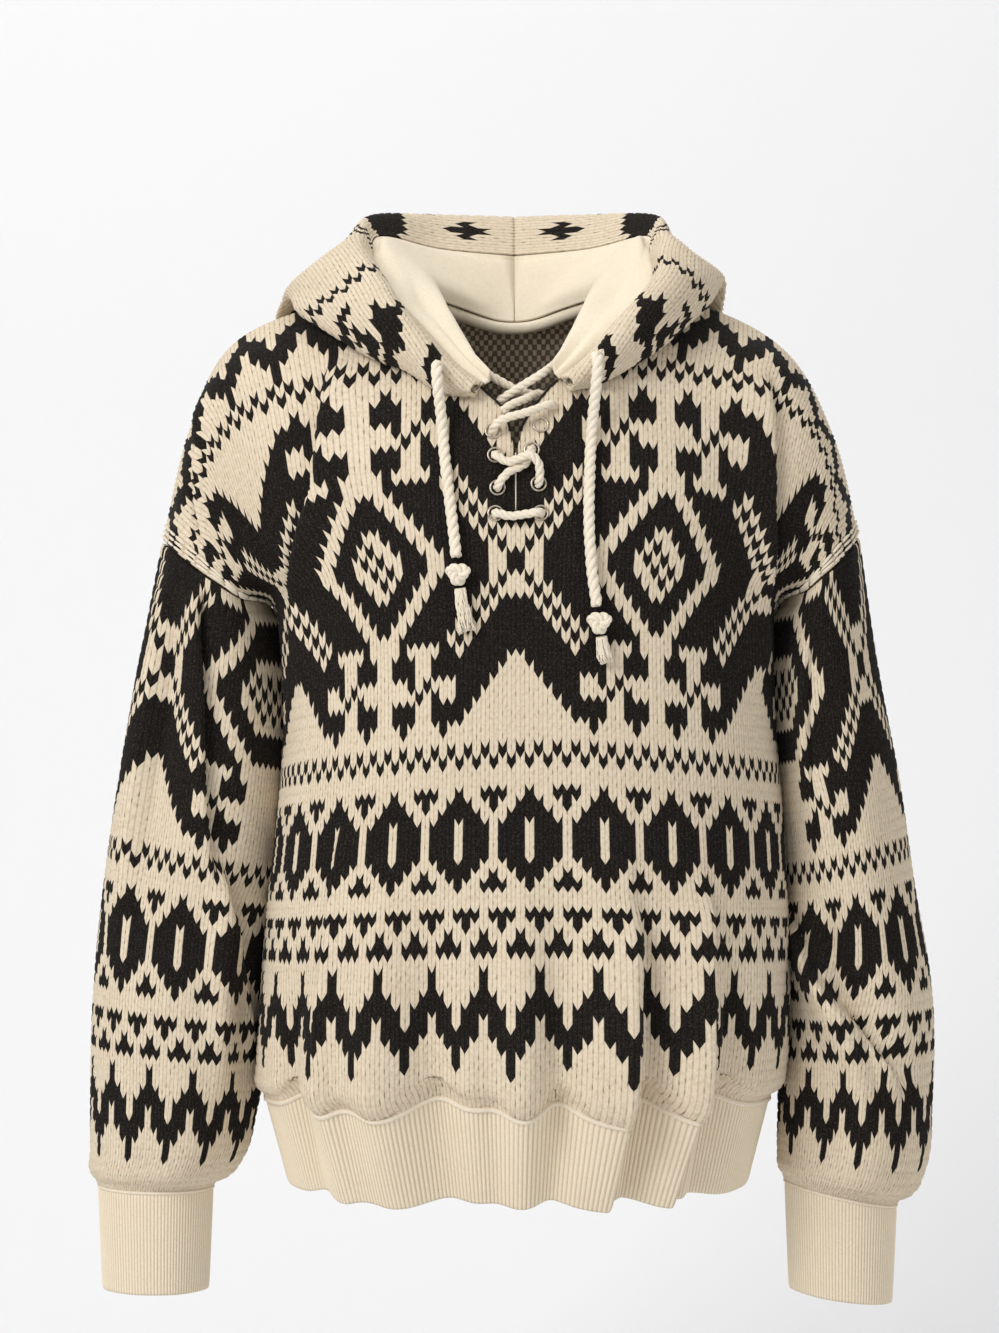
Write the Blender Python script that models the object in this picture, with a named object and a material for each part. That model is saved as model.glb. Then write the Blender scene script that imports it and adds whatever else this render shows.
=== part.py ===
"""Hooded jacquard sweater, worn and hollow, modelled as its cut and sewn pieces.

Metres, +Z up. The front faces -Y and the wearer's right arm is at -X. The origin is at the
base of the neck, midway between the shoulders.

Each cloth piece is a wall round a middle surface. A middle surface is a net: a short table of
sections, joined by smooth curves both ways, with its folds added along the surface's normal.
"""

import math

import bmesh
import bpy
import numpy as np

# ---------------------------------------------------------------- sizes
KNIT_WALL = 0.0024  # double jacquard knit
RIB_WALL = 0.0026
FLEECE_WALL = 0.0016
SEAM_GAP = 0.0003
ROWS_TO_UNDERARM = 46  # knit rows from the rib seam to the underarm
ROWS_TO_SHOULDER = 77  # and to the shoulder seam
SLEEVE_ROWS = 58  # knit rows from the cuff seam to the armhole
LACE_DIAMETER = 0.0060
DRAWSTRING_DIAMETER = 0.0078
EYELET_BORE = 0.0040  # radius
EYELET_BARREL = 0.0044  # outer radius
EYELET_FLANGE = 0.0055  # outer radius
EYELET_METAL = 0.0006
STEP = 1e-4  # for slopes, as a share of a net's width or height

# Columns of every body row, as shares of a half panel's width from the centre line.
ACROSS = (0.0, 0.2, 0.4, 0.6, 0.8, 1.0)

# Rows below the underarm: knit row, height at the centre, height at the sides, half width at
# the wearer's right, half width at the left, depth of the front, depth of the back.
TORSO_ROWS = (
    (0.0, -0.5460, -0.5470, 0.171, 0.174, 0.1135, 0.103),
    (0.6, -0.5425, -0.5435, 0.172, 0.175, 0.1140, 0.104),
    (1.6, -0.5375, -0.5395, 0.177, 0.182, 0.1210, 0.110),
    (4.0, -0.520, -0.524, 0.177, 0.186, 0.125, 0.114),
    (9.0, -0.483, -0.490, 0.175, 0.188, 0.125, 0.113),
    (18.0, -0.414, -0.422, 0.170, 0.187, 0.124, 0.111),
    (28.0, -0.343, -0.351, 0.162, 0.183, 0.123, 0.110),
    (37.0, -0.278, -0.287, 0.158, 0.178, 0.123, 0.110),
    (44.5, -0.224, -0.232, 0.161, 0.177, 0.122, 0.108),
    (46.0, -0.213, -0.221, 0.162, 0.177, 0.122, 0.108),
)
TORSO_SQUARENESS = 2.5
CENTRE_GAUGE = 0.2  # how much wider the stitches lie at the centre than evenly spaced ones

# Rows above it, at the ACROSS columns: from the centre line over the shoulder to the armhole.
SHOULDER_ROWS_RIGHT = (
    (56.0, (0.000, -0.115, -0.137), (-0.060, -0.113, -0.138), (-0.118, -0.100, -0.146),
     (-0.160, -0.074, -0.166), (-0.177, -0.062, -0.186), (-0.189, -0.055, -0.204)),
    (66.5, (0.000, -0.086, -0.056), (-0.060, -0.084, -0.058), (-0.124, -0.071, -0.066),
     (-0.180, -0.056, -0.084), (-0.209, -0.050, -0.120), (-0.217, -0.053, -0.185)),
    (72.0, (0.000, -0.047, -0.018), (-0.061, -0.046, -0.022), (-0.129, -0.041, -0.028),
     (-0.190, -0.036, -0.050), (-0.219, -0.034, -0.099), (-0.233, -0.036, -0.173)),
    (77.0, (0.000, 0.000, 0.007), (-0.062, 0.000, 0.001), (-0.132, 0.000, -0.004),
     (-0.195, 0.000, -0.032), (-0.224, 0.000, -0.091), (-0.242, 0.000, -0.166)),
)
SHOULDER_ROWS_LEFT = (
    (56.0, (0.000, -0.115, -0.137), (0.060, -0.113, -0.137), (0.118, -0.100, -0.143),
     (0.164, -0.074, -0.162), (0.184, -0.062, -0.180), (0.200, -0.054, -0.198)),
    (66.5, (0.000, -0.086, -0.056), (0.060, -0.084, -0.056), (0.120, -0.071, -0.060),
     (0.176, -0.056, -0.074), (0.208, -0.050, -0.110), (0.219, -0.053, -0.181)),
    (72.0, (0.000, -0.047, -0.018), (0.061, -0.046, -0.020), (0.126, -0.041, -0.028),
     (0.184, -0.036, -0.050), (0.213, -0.034, -0.102), (0.229, -0.036, -0.171)),
    (77.0, (0.000, 0.000, 0.007), (0.062, 0.000, 0.001), (0.129, 0.000, -0.005),
     (0.187, 0.000, -0.037), (0.219, 0.000, -0.095), (0.236, 0.000, -0.162)),
)
BACK_SHARE = 0.90  # how far the back stands from the shoulder seam, against the front
BACK_LIFT = 0.010  # how much higher the back hangs between the shoulders

# The front's edge beside the laced opening and the neck: knit row, place across.
FRONT_EDGE_RIGHT = (
    (54.2, 0.0), (54.8, 0.0012), (59.4, 0.003), (61.5, 0.0145), (63.0, 0.028), (63.9, 0.050),
    (64.6, 0.070), (65.0, 0.081), (66.5, 0.115), (69.3, 0.148), (72.0, 0.175), (75.0, 0.192),
    (77.0, 0.200),
)
FRONT_EDGE_LEFT = (
    (54.2, 0.0), (54.8, 0.0012), (59.4, 0.003), (61.5, 0.0145), (63.0, 0.038), (64.2, 0.063),
    (65.2, 0.085), (65.8, 0.107), (66.9, 0.125), (69.3, 0.152), (72.0, 0.176), (75.0, 0.192),
    (77.0, 0.200),
)
NECK_HALF_SPAN = 0.2  # of a half panel's width, at the shoulder seam
BACK_NECK_ROW = 70.8  # the back neckline at the centre
BACK_NECK_POWER = 2.2

# Folds of the body: knit row where each is deepest, row where it ends, its place across there
# and where it ends (-1 is the wearer's right side seam, 1 the left), its reach to each side,
# and its height, which is negative for a trough.
FRONT_FOLDS = (
    (0, 20, -0.62, -0.58, 0.050, 0.060, -0.010),
    (0, 26, -0.50, -0.47, 0.060, 0.035, 0.007),
    (0, 30, -0.34, -0.36, 0.060, 0.080, 0.009),
    (0, 24, -0.19, -0.20, 0.075, 0.060, -0.012),
    (0, 18, -0.05, -0.07, 0.040, 0.040, -0.004),
    (0, 28, 0.02, 0.01, 0.060, 0.045, 0.008),
    (0, 22, 0.10, 0.09, 0.040, 0.050, -0.010),
    (0, 34, 0.24, 0.25, 0.110, 0.020, 0.010),
    (0, 26, 0.31, 0.30, 0.025, 0.070, -0.009),
    (0, 30, 0.43, 0.44, 0.070, 0.022, 0.008),
    (0, 24, 0.53, 0.52, 0.025, 0.080, -0.011),
)
BACK_FOLDS = (
    (0, 26, -0.55, -0.50, 0.070, 0.050, -0.010),
    (0, 32, -0.36, -0.33, 0.090, 0.060, 0.009),
    (0, 24, -0.16, -0.18, 0.060, 0.080, -0.011),
    (0, 30, 0.04, 0.02, 0.080, 0.060, 0.009),
    (0, 22, 0.22, 0.24, 0.070, 0.050, -0.010),
    (0, 30, 0.41, 0.38, 0.060, 0.080, 0.010),
    (0, 24, 0.60, 0.55, 0.050, 0.070, -0.009),
)
HEM_SAG = 0.55  # how far a fold's rim hangs lower at the rib seam, against its height

# Sleeve sections: knit row, height, rise outwards, inner x, outer x, front y, back y.
SLEEVE_ROWS_RIGHT = (
    (0.0, -0.6100, 0.02, -0.2090, -0.2860, -0.0410, 0.0350),
    (0.6, -0.6065, 0.02, -0.2085, -0.2865, -0.0415, 0.0355),
    (1.6, -0.6020, 0.03, -0.1990, -0.2910, -0.0490, 0.0430),
    (4.0, -0.5880, 0.05, -0.189, -0.295, -0.055, 0.049),
    (9.0, -0.5520, 0.08, -0.184, -0.295, -0.057, 0.051),
    (19.0, -0.4830, 0.12, -0.179, -0.292, -0.058, 0.052),
    (29.0, -0.4140, 0.18, -0.174, -0.286, -0.058, 0.052),
    (39.0, -0.3430, 0.28, -0.166, -0.279, -0.058, 0.052),
    (48.5, -0.2730, 0.42, -0.162, -0.265, -0.059, 0.054),
)
SLEEVE_ROWS_LEFT = (
    (0.0, -0.6150, -0.22, 0.1870, 0.2620, -0.0400, 0.0380),
    (0.6, -0.6115, -0.22, 0.1865, 0.2625, -0.0405, 0.0385),
    (1.6, -0.6070, -0.20, 0.1830, 0.2720, -0.0490, 0.0460),
    (4.0, -0.5910, -0.12, 0.183, 0.282, -0.055, 0.053),
    (9.0, -0.5530, 0.00, 0.188, 0.286, -0.058, 0.056),
    (19.0, -0.4830, 0.10, 0.191, 0.286, -0.060, 0.058),
    (29.0, -0.4130, 0.22, 0.191, 0.277, -0.061, 0.059),
    (39.0, -0.3420, 0.34, 0.187, 0.268, -0.061, 0.059),
    (48.5, -0.2720, 0.50, 0.182, 0.256, -0.060, 0.057),
)
# Angles round a sleeve of the armhole's eight points, from the underarm by the front.
ROUND_SLEEVE = (0, 67, 107, 140, 180, 220, 253, 293)
ARMHOLE_ROWS = (46.0, 56.0, 66.5, 72.0, 77.0)

# Folds of the sleeves: row where each is deepest, rows it reaches down and up, its angle at the
# foot and at the top, its reach back and on round the sleeve, and its height.
SLEEVE_FOLDS_RIGHT = (
    (44, 26, 16, 118, 124, 22, 7, 0.0070),
    (44, 26, 16, 134, 138, 7, 20, -0.0080),
    (22, 16, 14, 48, 62, 14, 10, -0.0080),
    (20, 14, 16, 30, 44, 12, 16, 0.0060),
    (6, 8, 14, 100, 104, 20, 20, 0.0040),
    (30, 14, 18, 225, 236, 16, 14, -0.0070),
    (20, 14, 20, 300, 290, 18, 14, -0.0050),
)
SLEEVE_FOLDS_LEFT = (
    (20, 14, 12, 112, 52, 8, 24, 0.0080),
    (20, 14, 12, 96, 38, 16, 8, -0.0080),
    (44, 16, 12, 60, 72, 14, 14, -0.0050),
    (8, 8, 12, 60, 70, 16, 18, 0.0040),
    (32, 16, 16, 232, 222, 14, 16, -0.0070),
    (18, 12, 20, 296, 304, 18, 14, -0.0050),
)

# Hood, lying down: the way round the neck (0 at the front end, 1 at the centre back), then the
# underside, the lower fold, the face, the crest and the mouth edge.
HOOD_ROWS_RIGHT = (
    (0.00, (-0.026, -0.1010, -0.0720), (-0.0285, -0.1045, -0.0730), (-0.030, -0.1100, -0.0710),
     (-0.026, -0.1090, -0.0660), (-0.0215, -0.1045, -0.0660)),
    (0.15, (-0.043, -0.0980, -0.0680), (-0.050, -0.1010, -0.0700), (-0.050, -0.1085, -0.0600),
     (-0.044, -0.1055, -0.0525), (-0.039, -0.0970, -0.0535)),
    (0.30, (-0.060, -0.0870, -0.0520), (-0.073, -0.0880, -0.0550), (-0.073, -0.1020, -0.0420),
     (-0.064, -0.0990, -0.0300), (-0.057, -0.0860, -0.0330)),
    (0.45, (-0.075, -0.0690, -0.0330), (-0.099, -0.0730, -0.0440), (-0.095, -0.0920, -0.0250),
     (-0.082, -0.0860, -0.0080), (-0.074, -0.0720, -0.0140)),
    (0.60, (-0.094, -0.0340, -0.0090), (-0.136, -0.0440, -0.0200), (-0.124, -0.0640, 0.0000),
     (-0.102, -0.0590, 0.0150), (-0.091, -0.0470, 0.0050)),
    (0.75, (-0.114, 0.0150, 0.0065), (-0.166, 0.0120, -0.0050), (-0.150, -0.0080, 0.0170),
     (-0.116, -0.0080, 0.0430), (-0.106, -0.0060, 0.0310)),
    (0.88, (-0.088, 0.0780, 0.0020), (-0.124, 0.1300, -0.1080), (-0.124, 0.1550, -0.0430),
     (-0.100, 0.0600, 0.0650), (-0.092, 0.0370, 0.0480)),
    (0.94, (-0.046, 0.0900, -0.0080), (-0.076, 0.1380, -0.1620), (-0.074, 0.1620, -0.0800),
     (-0.056, 0.0980, 0.0690), (-0.052, 0.0680, 0.0430)),
    (1.00, (0.000, 0.0960, -0.0120), (0.000, 0.1400, -0.1850), (0.000, 0.1680, -0.0950),
     (0.000, 0.1120, 0.0690), (0.000, 0.0810, 0.0400)),
)
HOOD_ROWS_LEFT = (
    (0.00, (0.034, -0.1000, -0.0680), (0.0365, -0.1035, -0.0690), (0.038, -0.1090, -0.0660),
     (0.034, -0.1070, -0.0615), (0.030, -0.1010, -0.0620)),
    (0.15, (0.048, -0.0960, -0.0620), (0.0565, -0.0990, -0.0640), (0.057, -0.1075, -0.0540),
     (0.051, -0.1040, -0.0470), (0.046, -0.0930, -0.0490)),
    (0.30, (0.064, -0.0840, -0.0450), (0.079, -0.0860, -0.0510), (0.078, -0.1020, -0.0360),
     (0.069, -0.0990, -0.0240), (0.063, -0.0860, -0.0280)),
    (0.45, (0.079, -0.0660, -0.0280), (0.099, -0.0710, -0.0370), (0.097, -0.0930, -0.0190),
     (0.087, -0.0860, -0.0030), (0.080, -0.0720, -0.0100)),
    (0.60, (0.095, -0.0330, -0.0060), (0.127, -0.0410, -0.0110), (0.120, -0.0640, 0.0060),
     (0.103, -0.0590, 0.0200), (0.094, -0.0470, 0.0110)),
    (0.75, (0.108, 0.0150, 0.0065), (0.144, 0.0120, 0.0060), (0.133, -0.0080, 0.0250),
     (0.111, -0.0080, 0.0450), (0.101, -0.0060, 0.0340)),
    (0.88, (0.086, 0.0780, 0.0020), (0.118, 0.1300, -0.1020), (0.118, 0.1550, -0.0430),
     (0.099, 0.0600, 0.0650), (0.091, 0.0370, 0.0480)),
    (0.94, (0.045, 0.0900, -0.0080), (0.073, 0.1380, -0.1600), (0.071, 0.1620, -0.0800),
     (0.055, 0.0980, 0.0690), (0.051, 0.0680, 0.0430)),
    (1.00, (0.000, 0.0960, -0.0120), (0.000, 0.1400, -0.1850), (0.000, 0.1680, -0.0950),
     (0.000, 0.1120, 0.0690), (0.000, 0.0810, 0.0400)),
)
# Places of a hood section's points along it: the seam, the rise from it, and those above.
HOOD_PROFILE = (0.0, 0.08, 0.25, 0.45, 0.66, 0.88, 1.0)
HOOD_RISE = 0.0038  # how far the hood stands up at the neck seam before it turns over
# Where the hood's seam runs: the way round the neck, front row; then the share of the back.
HOOD_SEAM_RIGHT = ((0.0, 65.0), (0.15, 66.5), (0.30, 69.3), (0.45, 72.0), (0.60, 75.2), (0.66, 77.0))
HOOD_SEAM_LEFT = ((0.0, 65.8), (0.15, 67.2), (0.30, 69.5), (0.45, 72.0), (0.60, 75.2), (0.66, 77.0))
HOOD_SHOULDER = 0.66  # where it crosses the shoulder seam
# Lining: the way round the neck, then the lobe and the valley under the mouth edge.
LINING_ROWS_RIGHT = (
    (0.00, (-0.0178, -0.0995, -0.0645), (-0.0178, -0.1025, -0.0642)),
    (0.15, (-0.0325, -0.0928, -0.0490), (-0.0345, -0.0955, -0.0490)),
    (0.30, (-0.0510, -0.0755, -0.0255), (-0.0540, -0.0805, -0.0275)),
    (0.45, (-0.0640, -0.0490, -0.0080), (-0.0700, -0.0610, -0.0100)),
    (0.60, (-0.0780, -0.0230, 0.0170), (-0.0860, -0.0380, 0.0080)),
    (0.75, (-0.0930, 0.0080, 0.0410), (-0.1010, 0.0000, 0.0340)),
    (0.88, (-0.0780, 0.0360, 0.0420), (-0.0860, 0.0350, 0.0440)),
    (0.94, (-0.0430, 0.0570, 0.0370), (-0.0470, 0.0640, 0.0390)),
    (1.00, (0.0000, 0.0700, 0.0330), (0.0000, 0.0780, 0.0330)),
)
LINING_ROWS_LEFT = (
    (0.00, (0.0260, -0.0975, -0.0590), (0.0265, -0.1000, -0.0595)),
    (0.15, (0.0390, -0.0890, -0.0440), (0.0425, -0.0920, -0.0450)),
    (0.30, (0.0560, -0.0755, -0.0215), (0.0600, -0.0805, -0.0235)),
    (0.45, (0.0690, -0.0490, -0.0050), (0.0760, -0.0610, -0.0060)),
    (0.60, (0.0800, -0.0230, 0.0200), (0.0890, -0.0380, 0.0140)),
    (0.75, (0.0890, 0.0080, 0.0430), (0.0960, 0.0000, 0.0370)),
    (0.88, (0.0770, 0.0360, 0.0420), (0.0850, 0.0350, 0.0440)),
    (0.94, (0.0430, 0.0570, 0.0370), (0.0470, 0.0640, 0.0390)),
    (1.00, (0.0000, 0.0700, 0.0330), (0.0000, 0.0780, 0.0330)),
)
LINING_PROFILE = (0.0, 0.12, 0.55, 0.82, 1.0)
LINING_RISE = 0.0082  # how far the lining stands up over the hood's rise

# Eyelets: place across the front, knit row.
EYELETS = {
    "eyelet_right_1": (-0.050, 61.0),
    "eyelet_right_2": (-0.045, 59.0),
    "eyelet_right_3": (-0.040, 56.2),
    "eyelet_right_4": (-0.045, 54.0),
    "eyelet_left_1": (0.055, 61.5),
    "eyelet_left_2": (0.035, 59.4),
    "eyelet_left_3": (0.050, 56.5),
    "eyelet_left_4": (0.055, 54.0),
}
LACE_HOLE = (0.082, 63.1)  # a plain hole above the left eyelets
# The lace's way: place across, knit row, distance out from the panel's middle surface.
LACE_WAY = (
    (-0.030, 62.50, 0.0054), (-0.010, 63.05, 0.0052), (0.020, 63.70, 0.0020), (0.048, 64.60, -0.0040),
    (0.066, 64.60, -0.0066), (0.082, 63.60, -0.0064), (0.082, 63.10, -0.0020), (0.082, 63.10, 0.0026),
    (0.076, 62.95, 0.0066), (0.050, 62.50, 0.0092), (0.020, 62.05, 0.0112), (-0.012, 61.75, 0.0116),
    (-0.036, 61.45, 0.0102), (-0.0475, 61.15, 0.0068), (-0.050, 61.0, 0.0024), (-0.050, 61.0, -0.0028),
    (-0.049, 60.5, -0.0066), (-0.047, 59.5, -0.0066), (-0.045, 59.0, -0.0028), (-0.045, 59.0, 0.0026),
    (-0.041, 58.75, 0.0064), (-0.018, 58.25, 0.0070), (0.010, 58.45, 0.0104), (0.030, 58.60, 0.0134),
    (0.048, 58.05, 0.0116), (0.0525, 57.05, 0.0072), (0.050, 56.5, 0.0028), (0.050, 56.5, -0.0028),
    (0.051, 56.0, -0.0066), (0.054, 54.6, -0.0066), (0.055, 54.0, -0.0028), (0.055, 54.0, 0.0026),
    (0.049, 53.95, 0.0065), (0.020, 53.80, 0.0060), (-0.015, 53.65, 0.0060), (-0.039, 53.90, 0.0065),
    (-0.045, 54.0, 0.0026), (-0.045, 54.0, -0.0028), (-0.044, 54.6, -0.0066), (-0.041, 55.6, -0.0066),
    (-0.040, 56.2, -0.0028), (-0.040, 56.2, 0.0026), (-0.036, 56.45, 0.0065), (-0.014, 57.45, 0.0054),
    (0.010, 57.90, 0.0050), (0.024, 58.25, 0.0052), (0.0325, 58.95, 0.0064), (0.035, 59.4, 0.0028),
    (0.035, 59.4, -0.0026), (0.036, 59.9, -0.0064), (0.040, 60.8, -0.0070),
)
LACE_STEP = 0.0026
LACE_SIDES = 8

# Drawstrings: place across, knit row, distance out from the middle surface of the front; the
# first is at the hole in the hood's casing. Then the knot and the frayed end's foot.
DRAWSTRING_WAY_RIGHT = (
    (-0.165, 65.2, 0.0234), (-0.165, 64.7, 0.0278), (-0.164, 63.6, 0.0246), (-0.161, 62.2, 0.0125),
    (-0.158, 60.5, 0.0060), (-0.150, 57.5, 0.0060), (-0.140, 53.2, 0.0060), (-0.135, 50.3, 0.0080),
)
DRAWSTRING_WAY_LEFT = (
    (0.170, 65.6, 0.0260), (0.171, 65.1, 0.0300), (0.170, 64.0, 0.0262), (0.167, 62.2, 0.0125),
    (0.164, 60.5, 0.0060), (0.160, 57.5, 0.0060), (0.160, 53.2, 0.0060), (0.170, 49.2, 0.0060),
    (0.182, 46.1, 0.0080),
)
KNOT_RIGHT = (-0.133, 48.8, 0.0094)
KNOT_LEFT = (0.187, 44.6, 0.0094)
KNOT_RADII = (0.0088, 0.0078, 0.0082)
TASSEL_WAY_RIGHT = ((-0.130, 47.55, 0.0084), (-0.124, 45.6, 0.0066), (-0.114, 43.4, 0.0062))
TASSEL_WAY_LEFT = ((0.192, 43.30, 0.0084), (0.198, 42.0, 0.0066), (0.206, 40.6, 0.0062))
TASSEL_RADII = (0.0036, 0.0046, 0.0056)

# Cords across the neck: from inside the hood's edge to behind the front's neck edge.
NECK_CORD_RIGHT = (
    (-0.0292, -0.0768, -0.0503), (-0.0210, -0.0810, -0.0560),
    (-0.0150, -0.0850, -0.0600), (0.0000, -0.0850, -0.0680), (0.0120, -0.0840, -0.0720),
    (0.0210, -0.0820, -0.0760),
)
NECK_CORD_LEFT = (
    (0.0295, -0.0780, -0.0480), (0.0240, -0.0850, -0.0530),
    (0.0180, -0.0930, -0.0580), (0.0020, -0.0940, -0.0680), (-0.0100, -0.0930, -0.0760),
    (-0.0180, -0.0910, -0.0830),
)

# Rib bands: the height of each and how far its foot pulls in.
HEM_BAND_HEIGHT = 0.066
HEM_BAND_PULL = 0.016
HEM_CALM = 6  # the foot keeps half of the seam's folds and follows every sixth point for the rest
HEM_SIDE_LIFT = 0.008  # the foot's rise at the sides
CUFF_HEIGHT = 0.070
CUFF_PULL = 0.003
CUFF_FOOT_SLANT = 0.55  # the foot's slant against the top's


# ---------------------------------------------------------------- curves and nets
def spread(knots, places, loop=None):
    """For each place, the share that each knot's value has there on a smooth curve."""
    knots = np.asarray(knots, float)
    places = np.asarray(places, float).ravel()
    count = len(knots)
    if loop is not None:
        places = np.mod(places - knots[0], loop) + knots[0]
        order = np.r_[count - 1, np.arange(count), 0, 1]
        long_knots = np.r_[knots[-1] - loop, knots, knots[0] + loop, knots[1] + loop]
    else:
        places = np.clip(places, knots[0], knots[-1])
        order = np.arange(count)
        long_knots = knots
    unit = np.eye(count)[order]
    gap = np.diff(long_knots)
    slope = np.diff(unit, axis=0) / gap[:, None]
    tangent = np.empty_like(unit)
    tangent[0] = slope[0]
    tangent[-1] = slope[-1]
    before = gap[:-1, None]
    after = gap[1:, None]
    tangent[1:-1] = (slope[:-1] * after + slope[1:] * before) / (before + after)
    left = np.clip(np.searchsorted(long_knots, places, side="right") - 1, 0, len(gap) - 1)
    width = gap[left]
    t = ((places - long_knots[left]) / width)[:, None]
    width = width[:, None]
    return (
        (2 * t**3 - 3 * t**2 + 1) * unit[left]
        + (t**3 - 2 * t**2 + t) * width * tangent[left]
        + (3 * t**2 - 2 * t**3) * unit[left + 1]
        + (t**3 - t**2) * width * tangent[left + 1]
    )


def ramp(value, low, high):
    """0 at low, 1 at high, smooth between."""
    t = np.clip((value - low) / (high - low), 0.0, 1.0)
    return t * t * (3 - 2 * t)


def quarter_section(half_width, depth, height, side_height):
    """Six points by length along a rounded quarter, from the centre line to the side."""
    turn = np.linspace(0, math.pi / 2, 181)
    x = half_width * np.sin(turn) ** (2 / TORSO_SQUARENESS)
    y = depth * np.cos(turn) ** (2 / TORSO_SQUARENESS)
    length = np.r_[0, np.cumsum(np.hypot(np.diff(x), np.diff(y)))]
    share = length / length[-1]
    across = np.array(ACROSS)
    wanted = across * (1 + CENTRE_GAUGE * (1 - across))
    x = np.interp(wanted, share, x)
    y = np.interp(wanted, share, y)
    z = height + (side_height - height) * (x / half_width) ** 2
    return np.stack([x, y, z], axis=1)


def half_net(shoulder_rows, width_column, depth_column, side):
    """Rows of one half of a panel, from the centre line out. side is -1 or 1."""
    rows = []
    for row in TORSO_ROWS:
        points = quarter_section(row[width_column], row[depth_column], row[1], row[2])
        front = -1.0 if depth_column == 5 else 1.0
        rows.append(points * (side, front, 1.0))
    for row in shoulder_rows:
        points = np.array(row[1:], float)
        if depth_column == 6:
            inward = 1 - np.array(ACROSS)[:, None] ** 2
            points[:, 1] *= -BACK_SHARE
            points[:, 2:] += BACK_LIFT * inward * (np.abs(points[:, 1:2]) > 0)
        rows.append(points)
    return np.array(rows)


def whole_net(depth_column):
    """A panel's net, from the wearer's right side to the left."""
    right = half_net(SHOULDER_ROWS_RIGHT, 3, depth_column, -1.0)
    left = half_net(SHOULDER_ROWS_LEFT, 4, depth_column, 1.0)
    return np.concatenate([right[:, :0:-1], left], axis=1)


BODY_ACROSS = [-a for a in ACROSS[:0:-1]] + list(ACROSS)
BODY_ROWS = [row[0] for row in TORSO_ROWS] + [row[0] for row in SHOULDER_ROWS_RIGHT]
FRONT_NET = whole_net(5)
BACK_NET = whole_net(6)


def body_smooth(across, row, back):
    """Points of a body panel before its folds."""
    net = BACK_NET if back else FRONT_NET
    by_row = spread(BODY_ROWS, row)
    by_column = spread(BODY_ACROSS, across)
    return np.einsum("qi,qj,ijk->qk", by_row, by_column, net)


def normals(surface, across, row, width, height):
    """Unit normals of a surface, by small steps along its two ways."""
    along = surface(across + width * STEP, row) - surface(across - width * STEP, row)
    up = surface(across, row + height * STEP) - surface(across, row - height * STEP)
    normal = np.cross(along, up)
    return normal / np.maximum(np.linalg.norm(normal, axis=1, keepdims=True), 1e-12)


def body_folds(across, row, back):
    """Height of the body's folds."""
    height = np.zeros_like(across)
    for deepest, end, foot, head, reach_down, reach_up, rise in BACK_FOLDS if back else FRONT_FOLDS:
        share = (row - deepest) / (end - deepest)
        offset = across - (foot + (head - foot) * np.clip(share, 0, 1))
        reach = np.where(offset < 0, reach_down, reach_up)
        height += rise * np.exp(-((offset / reach) ** 2)) * (1 - ramp(share, 0.1, 1.0))
    side = 1 - ramp(np.abs(across), 0.8, 0.97)
    return height * side


def body(across, row, back=False):
    """Points of a body panel with its folds and the sag of the folds at the rib seam."""
    across = np.asarray(across, float)
    row = np.asarray(row, float)

    def smooth(a, r):
        return body_smooth(np.clip(a, -1, 1), r, back)

    normal = normals(smooth, across, row, 1.0, 1.0) * (-1.0 if back else 1.0)
    height = body_folds(across, row, back)
    points = smooth(across, row) + normal * height[:, None]
    points[:, 2] -= HEM_SAG * height * (1 - ramp(row, 0.0, 14.0))
    return points


def armhole_row(angle):
    """The body row that meets a sleeve at an angle round it, and whether it is on the back."""
    angle = np.mod(angle, 360.0)
    back = angle > 180.0
    share = np.where(back, 360.0 - angle, angle)
    return np.interp(share, ROUND_SLEEVE[:5], ARMHOLE_ROWS), back


def armhole(angle, side):
    """Points of the armhole seam, on the body's own edge."""
    row, back = armhole_row(angle)
    across = np.full_like(row, side)
    return np.where(back[:, None], body(across, row, True), body(across, row, False))


def sleeve_net(table, side):
    """Rings of a sleeve, from the cuff seam up to the armhole."""
    turn = np.radians(ROUND_SLEEVE)
    rings = []
    for _, height, rise, inner, outer, front, back in table:
        centre = (inner + outer) / 2
        x = centre + (inner - outer) / 2 * np.cos(turn)
        middle = (front + back) / 2
        y = middle + (front - back) / 2 * np.sin(turn)
        z = height + rise * (x - centre) * side
        rings.append(np.stack([x, y, z], axis=1))
    rings.append(armhole(np.array(ROUND_SLEEVE, float), side))
    return np.array(rings)


SLEEVE_TABLES = {-1: SLEEVE_ROWS_RIGHT, 1: SLEEVE_ROWS_LEFT}
SLEEVE_FOLD_TABLES = {-1: SLEEVE_FOLDS_RIGHT, 1: SLEEVE_FOLDS_LEFT}
SLEEVE_NETS = {side: sleeve_net(SLEEVE_TABLES[side], side) for side in (-1, 1)}
SLEEVE_NET_ROWS = [row[0] for row in SLEEVE_ROWS_RIGHT] + [SLEEVE_ROWS]


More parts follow.
